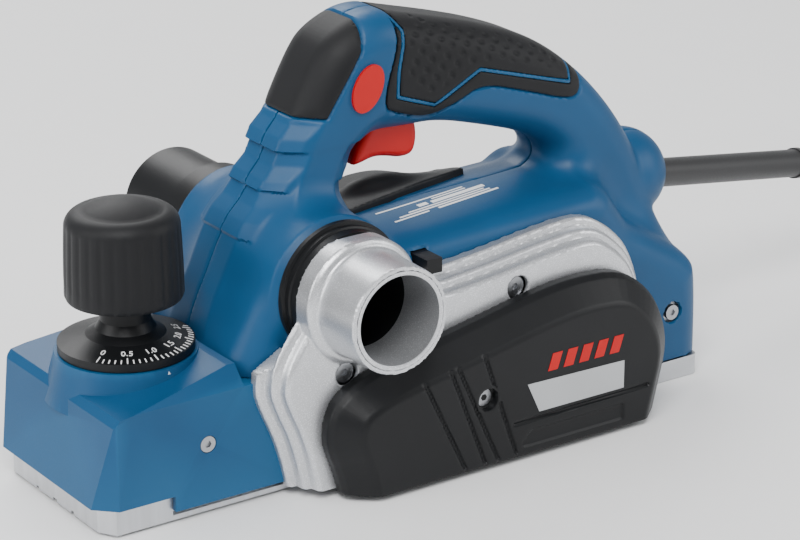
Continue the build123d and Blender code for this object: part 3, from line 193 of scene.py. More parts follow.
SOLE = Finish(
    "machined_aluminium", (0.60, 0.61, 0.63), 0.34, 1.0, grain=300, bump=0.05, mottle=0.06, stretch=(0.3, 7.0, 4.0),
)
STEEL = Finish("turned_steel", (0.55, 0.56, 0.58), 0.26, 1.0, grain=700, bump=0.02, stretch=(1.0, 4.0, 1.0))
SCREW_STEEL = Finish("plated_screw_steel", (0.42, 0.43, 0.45), 0.33, 1.0, grain=900, bump=0.03)
CARBIDE = Finish("ground_carbide", (0.36, 0.37, 0.39), 0.22, 1.0, grain=900, bump=0.02, stretch=(1.0, 0.2, 1.0))
BLACK_STEEL = Finish("blackened_steel", (0.03, 0.03, 0.032), 0.45, 0.7, grain=900, bump=0.04)
COPPER = Finish("enamelled_copper", (0.60, 0.26, 0.12), 0.3, 1.0, grain=1500, bump=0.25, stretch=(0.3, 4.0, 4.0))
GRAPHITE = Finish("pressed_carbon", (0.035, 0.035, 0.037), 0.6, grain=1600, bump=0.04)
LAMINATION = Finish("stacked_iron", (0.22, 0.22, 0.23), 0.5, 0.9, grain=900, bump=0.2, stretch=(0.1, 9.0, 0.1))
BELT = Finish("ribbed_belt_rubber", (0.02, 0.02, 0.02), 0.7, grain=1200, bump=0.08)
CORD = Finish("cord_sheath_rubber", (0.014, 0.014, 0.015), 0.46, grain=1400, bump=0.04, sheen=0.08)
BRASS = Finish("plated_brass", (0.62, 0.47, 0.20), 0.25, 1.0, grain=900, bump=0.02)
WHITE = Finish("white_print", (0.78, 0.78, 0.78), 0.5, grain=2000, bump=0.01, mottle=0.02)
PALE = Finish("pale_grey_print", (0.42, 0.43, 0.44), 0.5, grain=2000, bump=0.01, mottle=0.03)
FLOOR = Finish("pale_floor", (0.86, 0.86, 0.86), 0.6, grain=60, bump=0.0, mottle=0.004)

NODE_FINISH: dict[str, Finish] = {
    "base_frame": SOLE, "front_shoe": SHOE, "front_hood": BLUE, "housing_left": BLUE, "housing_right": BLUE,
    "nose_skin_left": SOFT_BLACK, "nose_skin_right": SOFT_BLACK, "grip_skin_left": SOFT_BLACK,
    "grip_skin_right": SOFT_BLACK, "top_panel": GREY, "side_cover": GREY, "chip_duct": BLACK,
    "chip_deflector": BLACK, "direction_lever": BLACK, "belt_guard": GUARD, "belt_cover": BLACK,
    "depth_dial": BLACK, "knob_cap": SOFT_BLACK, "spindle": STEEL, "depth_spring": STEEL, "cutter_drum": STEEL,
    "blades": CARBIDE, "blade_clamps": BLACK_STEEL, "drum_bearings": STEEL, "drum_pulley": SCREW_STEEL,
    "motor_pulley": SCREW_STEEL, "drive_belt": BELT, "stator": LAMINATION, "field_windings": COPPER,
    "armature": LAMINATION, "motor_shaft": STEEL, "commutator": COPPER, "fan": BLACK, "motor_bearings": STEEL,
    "brushes": GRAPHITE, "brush_holders": BRASS, "switch_body": BLACK, "trigger": RED, "lock_button": RED,
    "hood_screws": SCREW_STEEL, "rear_screws": SCREW_STEEL, "guard_screws": SCREW_STEEL,
    "cover_screw": SCREW_STEEL, "half_screws": SCREW_STEEL, "cord_sleeve": CORD, "cord_clamp": BLACK,
    "cord": CORD, "cord_tail": CORD, "cord_coil": CORD, "cord_tie": BLACK, "plug": BLACK, "plug_pins": BRASS,
}


# ------------------------------------------------------------------ distance fields
def rounded_outline(points: Outline, turns: int = 3) -> Array:
    """Cut an outline's corners again and again: each run gives its 1/4 and 3/4 points.

    Args:
        points: the outline's corners, in order.
        turns: how often the corners are cut.

    Returns:
        The finer outline, one row per point.
    """
    ring = np.asarray(points, float)
    for _ in range(turns):
        ahead = np.roll(ring, -1, axis=0)
        ring = np.stack([0.75 * ring + 0.25 * ahead, 0.25 * ring + 0.75 * ahead], axis=1).reshape(-1, 2)
    return ring


def outline_distance(u: Array, v: Array, ring: Array) -> Array:
    """Signed distance to a closed outline: the least distance to its runs, negative inside.

    A point is inside where a ray along +u crosses the runs an odd number of times.
    """
    u, v = np.broadcast_arrays(u, v)
    best = np.full(u.shape, 1e9)
    inside = np.zeros(u.shape, bool)
    for (au, av), (bu, bv) in zip(ring, np.roll(ring, -1, axis=0)):
        du, dv = bu - au, bv - av
        length = du * du + dv * dv
        if length < 1e-12:
            continue
        share = np.clip(((u - au) * du + (v - av) * dv) / length, 0.0, 1.0)
        best = np.minimum(best, (u - au - share * du) ** 2 + (v - av - share * dv) ** 2)
        if dv != 0.0:
            inside ^= ((av > v) != (bv > v)) & (u < du * (v - av) / dv + au)
    return np.where(inside, -1.0, 1.0) * np.sqrt(best)


def rounded_slab(outline: Array, across: Array, radius: float) -> Array:
    """A slab with its rims rounded: |max(a + r, 0), max(b + r, 0)| + min(max(a, b) + r, 0) - r."""
    a, b = outline + radius, across + radius
    return np.hypot(np.maximum(a, 0), np.maximum(b, 0)) + np.minimum(np.maximum(a, b), 0) - radius


def bevelled_slab(outline: Array, across: Array, bevel: float) -> Array:
    """A slab with its rims cut at 45 degrees: max(a, b, (a + b + bevel) / sqrt 2)."""
    return np.maximum(np.maximum(outline, across), (outline + across + bevel) * math.sqrt(0.5))


def join(a: Array, b: Array, blend: float) -> Array:
    """Two solids as one with a concave blend: min(a, b) - h^2 k / 4, h = max(k - |a - b|, 0) / k."""
    h = np.maximum(blend - np.abs(a - b), 0.0) / blend
    return np.minimum(a, b) - h * h * blend * 0.25


def meet(a: Array, b: Array, blend: float) -> Array:
    """What two solids share, with the edge between them eased by the blend."""
    return -join(-a, -b, blend)


def step(value: Array, start: float, end: float) -> Array:
    """A smooth step from 0 at start to 1 at end: t^2 (3 - 2t)."""
    t = np.clip((value - start) / (end - start), 0.0, 1.0)
    return t * t * (3.0 - 2.0 * t)


def bar_distance(x: Array, z: Array, start: tuple[float, float], end: tuple[float, float]) -> Array:
    """Distance in the XZ plane to a straight run between two points."""
    dx, dz = end[0] - start[0], end[1] - start[1]
    share = np.clip(((x - start[0]) * dx + (z - start[1]) * dz) / (dx * dx + dz * dz), 0.0, 1.0)
    return np.hypot(x - start[0] - share * dx, z - start[1] - share * dz)


CROWN_DROP = 13.0  # how far the body's crown falls, at most, towards the far side
CROWN_START = 2.0  # the Y at which the fall starts


def crown_fall(y: Array) -> Array:
    """How far the crown lies under its middle: D (1 - exp(-0.016 (y - s)^2 / D)) past the start s."""
    return CROWN_DROP * (1.0 - np.exp(-0.016 * np.maximum(y - CROWN_START, 0.0) ** 2 / CROWN_DROP))


# ------------------------------------------------------------------ meshes
def add_piece(name: str, points: Array, faces: Sequence, finish: Finish, body: str,
              smooth: bool = True) -> bpy.types.Object:
    """Put a mesh in the scene, dress it, and let it ride on its body.

    Args:
        name: the piece's name.
        points: its vertices, in millimetres.
        faces: its faces as rows of vertex numbers.
        finish: its finish.
        body: the CAD body that it moves with.
        smooth: whether its faces are shaded smooth.

    Returns:
        The new object, at the origin.
    """
    mesh = bpy.data.meshes.new(name)
    mesh.from_pydata((np.asarray(points, float) * MM).tolist(), [], [list(map(int, f)) for f in faces])
    mesh.validate()
    mesh.polygons.foreach_set("use_smooth", [smooth] * len(mesh.polygons))
    mesh.materials.append(finish.material())
    mesh.update()
    piece = bpy.data.objects.new(name, mesh)
    bpy.context.scene.collection.objects.link(piece)
    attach(piece, body)
    log.info("%-26s %7d faces", name, len(mesh.polygons))
    return piece


def carve(name: str, shape: Field, low: Sequence[float], high: Sequence[float], cell: float, finish: Finish,
          body: str, sharp: float = 38.0) -> bpy.types.Object:
    """Mesh the surface where a distance field is zero.

    The field is worked out on a grid, its zero surface is taken as quads, and each
    vertex is then moved onto it along the field's slope: p - f g / |g|^2, three times.

    Args:
        name: the piece's name.
        shape: the field, in millimetres, negative inside.
        low: the grid's lowest corner.
        high: the grid's highest corner.
        cell: the grid's pitch.
        finish: the piece's finish.
        body: the CAD body that it moves with.
        sharp: the angle past which an edge is shaded sharp.

    Returns:
        The new object.
    """
    import openvdb

    steps = [int(math.ceil((b - a) / cell)) + 1 for a, b in zip(low, high)]
    x = (low[0] + cell * np.arange(steps[0]))[:, None, None]
    y = (low[1] + cell * np.arange(steps[1]))[None, :, None]
    z = (low[2] + cell * np.arange(steps[2]))[None, None, :]
    values = np.broadcast_to(shape(x, y, z), steps).astype(np.float32)
    values = np.clip(values, -3 * cell, 3 * cell)
    grid = openvdb.FloatGrid(3 * cell)
    grid.copyFromArray(np.ascontiguousarray(values))
    points, quads = grid.convertToQuads(isovalue=0.0)
    points = np.asarray(points, float) * cell + np.asarray(low, float)
    quads = np.asarray(quads, int)
    reach = 0.12 * cell
    for _ in range(3):
        at = [points[:, i] for i in range(3)]
        value = shape(*at)
        slope = np.stack([
            (shape(*[c + (reach if i == k else 0.0) for i, c in enumerate(at)])
             - shape(*[c - (reach if i == k else 0.0) for i, c in enumerate(at)])) / (2 * reach)
            for k in range(3)
        ], axis=1)
        size = np.maximum((slope * slope).sum(axis=1), 0.3)
        shift = -(value / size)[:, None] * slope
        length = np.maximum(np.linalg.norm(shift, axis=1, keepdims=True), 1e-9)
        points = points + shift * np.minimum(1.0, 0.6 * cell / length)
    corner = points[quads]
    outward = np.einsum("ij,ij->i", corner[:, 0], np.cross(corner[:, 1], corner[:, 2]))
    outward = outward + np.einsum("ij,ij->i", corner[:, 0], np.cross(corner[:, 2], corner[:, 3]))
    if outward.sum() < 0:
        quads = quads[:, ::-1]
    piece = add_piece(name, points, quads, finish, body)
    piece.data.set_sharp_from_angle(angle=math.radians(sharp))
    return piece


def turned(name: str, profile: Outline, centre: Sequence[float], axis: Sequence[float], finish: Finish, body: str,
           segments: int = 96, ripple: Callable[[Array, Array], Array] | None = None,
           sharp: float = 35.0, ring: bool = False) -> bpy.types.Object:
    """Turn a profile about an axis: p = c + h a + r (cos t e1 + sin t e2).

    Args:
        name: the piece's name.
        profile: (radius, height) points from one end of the axis to the other.
        centre: the point of the axis at height 0.
        axis: the axis direction.
        finish: the piece's finish.
        body: the CAD body that it moves with.
        segments: the number of steps round the axis.
        ripple: how much the radius grows at (angle, height), if it isn't round.
        sharp: the angle past which an edge is shaded sharp.
        ring: whether the profile closes on itself and leaves the axis open.

    Returns:
        The new object.
    """
    a = np.asarray(axis, float) / np.linalg.norm(axis)
    e1 = np.cross(a, (0.0, 0.0, 1.0)) if abs(a[2]) < 0.9 else np.cross(a, (0.0, 1.0, 0.0))
    e1 /= np.linalg.norm(e1)
    e2 = np.cross(a, e1)
    rows = np.asarray(profile, float)
    angle = np.linspace(0, 2 * math.pi, segments, endpoint=False)[None, :]
    radius = np.repeat(rows[:, :1], segments, axis=1)
    height = np.repeat(rows[:, 1:], segments, axis=1)
    if ripple is not None:
        radius = np.maximum(radius + ripple(angle, height), 0.01) * (rows[:, :1] > 0.02)
    radius = np.maximum(radius, 0.02)
    points = (np.asarray(centre, float) + height[..., None] * a
              + radius[..., None] * (np.cos(angle)[..., None] * e1 + np.sin(angle)[..., None] * e2)).reshape(-1, 3)
    count = len(rows)
    i, j = np.meshgrid(np.arange(count if ring else count - 1), np.arange(segments), indexing="ij")
    k, above = (j + 1) % segments, (i + 1) % count
    quads = np.stack([i * segments + j, i * segments + k, above * segments + k, above * segments + j], axis=-1)
    faces = quads.reshape(-1, 4).tolist()
    if not ring:
        faces.append(list(range(segments))[::-1])
        faces.append([(count - 1) * segments + s for s in range(segments)])
    piece = add_piece(name, points, faces, finish, body)
    piece.data.set_sharp_from_angle(angle=math.radians(sharp))
    return piece


def plate(name: str, outline: Outline, place: Callable[[Array, Array, float], Array], thickness: float,
          finish: Finish, body: str) -> bpy.types.Object:
    """A thin flat plate: the outline placed at height 0 and at its thickness, joined round the rim.

    Args:
        name: the piece's name.
        outline: the plate's outline, anticlockwise seen from outside.
        place: gives the points of (u, v) at a height.
        thickness: the plate's height over the surface.
        finish: the piece's finish.
        body: the CAD body that it moves with.

    Returns:
        The new object.
    """
    ring = np.asarray(outline, float)
    count = len(ring)
    points = np.concatenate([place(ring[:, 0], ring[:, 1], -0.4), place(ring[:, 0], ring[:, 1], thickness)])
    faces: list[list[int]] = [list(range(count))[::-1], list(range(count, 2 * count))]
    faces += [[i, (i + 1) % count, count + (i + 1) % count, count + i] for i in range(count)]
    return add_piece(name, points, faces, finish, body, smooth=False)


def lettering(name: str, words: str, size: float, matrix: Matrix, finish: Finish, body: str) -> bpy.types.Object:
    """Plain figures as a thin raised mesh.

    Args:
        name: the piece's name.
        words: the figures.
        size: their height in millimetres.
        matrix: their place, in metres; they lie in its XY plane.
        finish: the piece's finish.
        body: the CAD body that they move with.

    Returns:
        The new object, a mesh at the origin.
    """
    curve = bpy.data.curves.new(name + "_text", "FONT")
    curve.body = words
    curve.size = size * 1.35 * MM
    curve.align_x = "CENTER"
    curve.align_y = "CENTER"
    curve.extrude = 0.15 * MM
    curve.resolution_u = 3
    source = bpy.data.objects.new(name + "_text", curve)
    bpy.context.scene.collection.objects.link(source)
    bpy.context.view_layer.update()
    mesh = bpy.data.meshes.new_from_object(source.evaluated_get(bpy.context.evaluated_depsgraph_get()))
    bpy.data.objects.remove(source)
    mesh.name = name
    mesh.transform(matrix)
    mesh.materials.clear()
    mesh.materials.append(finish.material())
    piece = bpy.data.objects.new(name, mesh)
    bpy.context.scene.collection.objects.link(piece)
    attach(piece, body)
    return piece


# ------------------------------------------------------------------ housing
@dataclass
class Housing:
    """The blue clamshell with its handle, its soft skins and its cord dome."""

    body_outline: Outline = (
        (-84, 52), (-84, 56), (-66.5, 89), (-62, 95), (-48, 101), (-36, 99.5), (-18, 93), (40, 94.5), (94, 97),
        (106, 80), (111, 72.5), (125, 64), (144, 53), (149, 44), (148.5, -40), (-84, -40),
    )
    underside: Outline = (
        (-84, 50.3), (-62.5, 50.3), (-62.5, 54.3), (24, 54.3), (24, 9.3), (170, 9.3), (170, 220), (-120, 220),
        (-120, 50.3),
    )
    handle_outline: Outline = (
        (-84, 54), (-62, 98), (-40, 142), (-30, 161), (-22, 171), (-3, 178.5), (14, 174), (35, 168.5), (55, 162.5),
        (75, 154.5), (92, 143.5), (108, 129), (122, 112), (133, 93), (140, 74), (147, 51), (140, 30), (-50, 30),
    )
    opening_outline: Outline = (
        (-26, 92), (-25.5, 98), (-19, 112), (-12, 124), (-4, 128.5), (12, 127.5), (29, 127), (52, 120.5), (72, 114),
        (83, 107.5), (88, 98), (86, 88), (72, 83), (30, 82), (-18, 83.5),
    )
    half: float = 41.0
    edge: float = 13.0
    handle_half: float = 19.5
    shell_centre: tuple[float, float] = (-39.5, 80.0)
    shell_radius: float = 28.2
    duct_hole: float = 20.9
    dome_centre: tuple[float, float, float] = (134.3, 2.7, 80.7)
    dome_radius: float = 20.0
    bands: tuple[tuple[float, float], ...] = ((138.4, 128.4), (122.8, 114.2), (108.2, 97.2))
    side_screws: tuple[tuple[float, float], ...] = ((130.0, 31.0),)
    stripe: tuple[tuple[float, float], ...] = (
        (0, 182), (7.5, 169.5), (4.5, 154), (4, 143.5), (22, 137), (34, 143), (44, 148), (90, 134.5), (96, 149),
        (100, 160))
    dot_row: float = 4.1
    dot_pitch: float = 7.5
    dot_field: Outline = (
        (9, 176), (34, 167), (60, 159), (88, 146), (89, 139), (45, 152.5), (33, 147), (22, 141), (8, 146.5))
    cell: float = 1.1
    wall: float = 2.6
    outlines: dict[str, Array] = field(default_factory=dict)

    def __post_init__(self) -> None:
        """Round the outlines once."""
        self.outlines = {
            "body": rounded_outline(self.body_outline),
            "handle": rounded_outline(self.handle_outline),
            "opening": rounded_outline(self.opening_outline),
        }

    def shape(self, x: Array, y: Array, z: Array) -> Array:
        """The whole outer shape of both halves.

        The body is a slab with rounded rims, joined to the duct's round shell, to the
        handle ring (outline less opening, rounded across) and to the cord dome. The
        front leg's rims are cut flat and carry three bands that slope out and end short.
        """
        side = np.abs(y)
        body = rounded_slab(outline_distance(x, z, self.outlines["body"]), side - self.half, self.edge)
        shell = bevelled_slab(
            np.hypot(x - self.shell_centre[0], z - self.shell_centre[1]) - self.shell_radius,
            side - self.half, 4.0)
        ring = np.maximum(
            outline_distance(x, z, self.outlines["handle"]), -outline_distance(x, z, self.outlines["opening"]))
        round_ring = rounded_slab(ring, side - self.handle_half, 13.5)
        flat_ring = bevelled_slab(ring, side - self.handle_half, 9.0)
        low_leg = (1 - step(z, 137.0, 145.0)) * (1 - step(x - 0.48 * (z - 100.0), -30.0, -18.0))
        leg = round_ring + (flat_ring - round_ring) * low_leg
        relief = 0.0
        for top, bottom in self.bands:
            relief = relief + np.clip((top - z) / 5.0, 0.0, 1.0) * step(z, bottom - 0.5, bottom)
        leg = leg - 1.8 * relief * low_leg * (1 - step(side, self.handle_half - 1.5, self.handle_half + 0.5))
        fall = crown_fall(y) + 0.006 * np.maximum(-y - 14.0, 0.0) ** 2
        crown = z - (92.4 + 0.034 * x) + fall - 18.0 * (1 - step(x, -26.0, -6.0)) - 22.0 * step(x, 86.0, 108.0)
        body = meet(body, 0.9 * crown, 4.0)
        body = join(body, shell, 5.0)
        whole = join(body, leg, 15.0)
        dome = np.sqrt((x - self.dome_centre[0]) ** 2 + (y - self.dome_centre[1]) ** 2
                       + (z - self.dome_centre[2]) ** 2) - self.dome_radius
        return join(whole, dome, 2.5)

    def skin_region(self, x: Array, z: Array) -> tuple[Array, Array, Array]:
        """Distance fields of the soft regions, seen from the side.

        Returns:
            The nose, the grip and the grip's thin stripe.
        """
        nose = outline_distance(x, z, np.array(
            [(-62, 142.2), (-29, 140), (-12.5, 164.5), (-6, 190), (-70, 190)], float))
        stripe = np.minimum.reduce([
            bar_distance(x, z, a, b) for a, b in zip(self.stripe[:-1], self.stripe[1:])])
        grip = outline_distance(x, z, rounded_outline(
            [(1, 190), (6, 171), (-4, 140.5), (4, 136.5), (20, 131), (33, 136), (45, 141.5), (66, 135), (88, 127.5),
             (95, 128.5), (99, 136), (104, 160), (60, 190)], 2))
        return nose, grip, stripe - 0.75

    def half_shell(self, side: Side) -> Field:
        """One half of the clamshell, hollow, with its openings and the groove round the soft skins."""

        def shape(x: Array, y: Array, z: Array) -> Array:
            """The half's distance field."""
            outer = self.shape(x, y, z)
            nose, grip, _ = self.skin_region(x, z)
            outer = outer + 1.4 * (1 - step(np.minimum(nose, grip), -0.2, 0.5))
            inner = outer + self.wall
            low = outline_distance(x, z, np.asarray(self.underside, float))
            shell = np.maximum(outer, -inner)
            hole = self.duct_hole - np.hypot(x - self.shell_centre[0], z - self.shell_centre[1])
            shell = np.maximum(shell, hole)
            shell = np.maximum(shell, low)
            slot = np.maximum(np.abs(x) - 4.0, np.abs(z - 83.0) - 3.4)
            shell = np.maximum(shell, -np.maximum(slot, 30.0 - np.abs(y)))
            sleeve = 8.4 - np.sqrt((y - self.dome_centre[1] - 0.147 * (x - self.dome_centre[0])) ** 2
                                   + (z - 79.2 + 0.188 * (x - self.dome_centre[0])) ** 2)
            shell = np.where(x > self.dome_centre[0], np.maximum(shell, sleeve), shell)
            for screw_x, screw_z in self.side_screws:
                shell = np.maximum(shell, -np.maximum(
                    np.hypot(x - screw_x, z - screw_z) - 4.7, self.half - 3.0 - side.value * y))
            return meet(shell, 0.12 - side.value * y, 0.9)

        return shape

    def skin(self, which: int) -> Field:
        """The nose skin (0), the grip skin (1) with its rows of dots, or the stripe in it (2)."""

        def shape(x: Array, y: Array, z: Array) -> Array:
            """The skin's distance field."""
            outer = self.shape(x, y, z) + 0.05
            regions = self.skin_region(x, z)
            region = regions[which] + (0.5, 0.45, 0.0)[which]
            if which == 1:
                region = np.maximum(region, 0.12 - regions[2])
                row = (z - np.abs(y) * 0.9) / self.dot_row
                shift = np.mod(np.round(row), 2) * self.dot_pitch / 2
                along = np.mod(x - shift + 0.28 * z, self.dot_pitch) - self.dot_pitch / 2
                across = (row - np.round(row)) * self.dot_row
                dots = np.sqrt(along ** 2 + across ** 2)
                window = step(-outline_distance(x, z, rounded_outline(self.dot_field, 1)), 0.0, 1.5)
                outer = outer + 0.55 * (1 - step(dots, 0.9, 1.8)) * window
            body = meet(outer, region, 0.8)
            return np.maximum(body, -(outer + 1.35))

        return shape

    def build(self) -> None:
        """Build the two halves and the two skins, and let them stand for the CAD's."""
        for side, node in ((Side.BELT, "housing_left"), (Side.FAR, "housing_right")):
            low = (-88, -43 if side is Side.BELT else -1.5, 7)
            high = (158, 1.5 if side is Side.BELT else 43, 181)
            piece = carve("shell_" + side.name.lower(), self.half_shell(side), low, high, self.cell, BLUE,
                          "machine")
            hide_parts(node)
        nose = carve("nose_skin", self.skin(0), (-62, -22, 138), (2, 22, 181), 0.9, SOFT_BLACK, "machine")
        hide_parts("nose_skin_left", "nose_skin_right")
        grip = carve("grip_skin", self.skin(1), (-8, -22, 122), (106, 22, 181), 0.75, SOFT_BLACK, "machine")
        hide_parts("grip_skin_left", "grip_skin_right")
        carve("grip_stripe", self.skin(2), (-4, -22, 130), (102, 22, 181), 0.8, BLUE, "machine")


# ------------------------------------------------------------------ belt guard and cover
@dataclass
class BeltSide:
    """The silver guard over the belt, its bolted cover and the spigot that stands out of it."""

    guard_outline: Outline = (
        (-62, 3.6), (-70, 20), (-80, 42), (-81, 50), (-78, 62), (-67, 78), (-54, 90), (-39, 95), (-24, 92), (-8, 79.5),
        (22, 82), (54, 86.5), (76, 88), (90, 80), (101, 68), (108, 47), (109, 29), (99, 3.6),
    )
    cover_outline: Outline = (
        (-47, 2.6), (-53, 10), (-59, 24), (-58, 36), (-52, 45), (-36, 51.8), (8, 60), (40, 66.5), (62, 69), (84, 67),
        (99, 56), (107, 42), (109, 28), (105, 12), (97, 2.6),
    )
    guard_low: float = 3.6
    back: float = 41.4
    front: float = 57.0
    cover_face: float = 72.0
    duct: tuple[float, float] = (-39.5, 80.0)
    spigot_radius: float = 21.5
    spigot_end: float = 83.5
    bore: float = 19.7
    screws: tuple[tuple[float, float], ...] = ((-46.0, 50.6), (36.0, 68.0))
    cover_screw: tuple[float, float] = (10.9, 31.0)
    grooves: tuple[tuple[tuple[float, float], tuple[float, float]], ...] = (
        ((-22, 50), (0, 4)), ((-9, 52), (10, 3)), ((-6, 53), (16, 4)), ((8, 53), (25, 4)), ((24, 17), (92, 18)),
    )
    badge: Outline = ((30, 33), (36, 20), (79, 20), (79, 32))
    panel: Outline = ((29, 9), (33, 12.5), (79, 12.5), (79, 6.5), (28.5, 6.5))

    def stepped(self, outline: Array, y: Array, steps: Outline) -> Array:
        """A plate whose rim follows a stepped section: the section's distance at (outline, -y)."""
        return outline_distance(outline, -y, np.asarray(steps, float))

    def guard(self, x: Array, y: Array, z: Array) -> Array:
        """The guard: a plate with two ledges on its rim, a boss round the spigot and the spigot's tube."""
        outline = outline_distance(x, z, rounded_outline(self.guard_outline[1:-1] + ((99, -20), (-62, -20)), 2))
        rim = self.stepped(outline, y, (
            (0.0, self.back), (0.0, 45.6), (-0.9, 46.6), (-3.2, 46.8), (-3.6, 51.0), (-4.6, 52.0), (-6.6, 52.4),
            (-7.2, 55.6), (-8.6, self.front), (-300.0, self.front), (-300.0, self.back)))
        duct = np.hypot(x - self.duct[0], z - self.duct[1])
        boss = bevelled_slab(duct - 25.5, -y - 60.0, 1.5)
        plate_shape = join(rim, boss, 1.2)
        spigot = np.maximum(duct - self.spigot_radius - 0.02 * (self.spigot_end + y), -y - self.spigot_end)
        solid = join(plate_shape, spigot, 2.0)
        solid = np.maximum(solid, self.bore - duct)
        inside = np.maximum(outline + 9.5, -y - self.front + 2.5)
        solid = np.maximum(solid, -np.maximum(inside, 29.0 - duct))
        solid = np.maximum(solid, y + self.back)
        sector = np.maximum(x + 26.0 - 0.35 * (z - 80.0), 62.0 - z + 0.55 * (x + 66.0))
        solid = np.maximum(solid, -np.maximum(sector, -50.0 - y))
        for screw_x, screw_z in self.screws:
            hole = np.maximum(np.hypot(x - screw_x, z - screw_z) - 5.0, y + self.front - 3.6)
            solid = meet(solid, -hole, 0.8)
        return np.maximum(solid, self.guard_low - z)

    def cover(self, x: Array, y: Array, z: Array) -> Array:
        """The cover: a plate with a wide bevel, slanted grooves, a shallow panel and a screw boss."""
        outline = outline_distance(
            x, z, rounded_outline(self.cover_outline[1:-1] + ((97, -20), (-47, -20)), 2))
        rim = self.stepped(outline, y, (
            (0.0, self.front), (0.0, 61.5), (-1.6, 64.2), (-9.6, 71.2), (-11.4, self.cover_face),
            (-300.0, self.cover_face), (-300.0, self.front)))
        relief = np.zeros(np.broadcast(x, z).shape)
        for start, end in self.grooves:
            relief = np.maximum(relief, 1.1 * (1 - step(bar_distance(x, z, start, end), 0.35, 1.15)))
        relief = np.maximum(relief, 0.7 * (1 - step(outline_distance(x, z, np.asarray(self.panel, float)), -0.2, 0.7)))
        relief = relief * (1 - step(outline, -9.5, -7.0)) * step(z, 3.2, 4.4)
        solid = np.maximum(rim, -y - self.cover_face + relief)
        solid = np.maximum(solid, -np.maximum(outline + 3.5, -y - self.front - 4.5))
        solid = np.maximum(solid, -np.maximum(outline + 15.0, -y - self.cover_face + 3.4))
        boss = np.hypot(x - self.cover_screw[0], z - self.cover_screw[1])
        solid = np.minimum(solid, np.maximum(boss - 6.0, np.maximum(-y - self.cover_face, y + self.front + 6)))
        solid = meet(solid, -np.maximum(boss - 4.6, y + self.cover_face - 3.5), 0.7)
        return np.maximum(np.maximum(solid, 2.6 - z), y + self.front + 0.05)

    def on_cover(self, u: Array, v: Array, height: float) -> Array:
        """A point of the cover's face at (x, z), raised by a height."""
        return np.stack([u, np.full_like(u, -self.cover_face - height), v], axis=-1)

    def build(self) -> None:
        """Build the guard, the cover, the spigot's collar and lining, and the plain marks."""
        guard = carve("belt_guard_shell", self.guard, (-84, -85, 1), (112, -39.5, 103), 0.85, GUARD,
                      "machine", 30)
        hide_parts("belt_guard")
        cover = carve("belt_cover_shell", self.cover, (-62, -74, 0.5), (112, -55.5, 72), 0.8, BLACK,
                      "machine", 30)
        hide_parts("belt_cover")
        along = (self.duct[0], 0.0, self.duct[1])
        turned("duct_collar", ((21.0, 41.2), (27.6, 41.2), (27.6, 43.4), (26.2, 43.8), (26.2, 46.0), (25.4, 46.4),
                               (25.4, 51.0), (21.0, 51.0)), along, (0, -1, 0), BLACK, "machine", 96,
               ring=True)
        turned("spigot_lining", ((18.06, 83.4), (18.06, 60.0), (18.3, 60.0), (18.3, 82.6), (19.66, 82.9), (19.66, 83.6),
                                 (18.5, 83.6)), along, (0, -1, 0), GUARD, "machine", 96, ring=True)
        plate("cover_badge", self.badge, self.on_cover, 0.18, PALE, "machine")
        for number in range(5):
            left = 40.0 + 7.8 * number
            plate(f"cover_red_bar_{number + 1}",
                  ((left, 36.4), (left + 4.8, 36.4), (left + 7.2, 43.6), (left + 2.4, 43.6)),
                  self.on_cover, 0.18, RED, "machine")


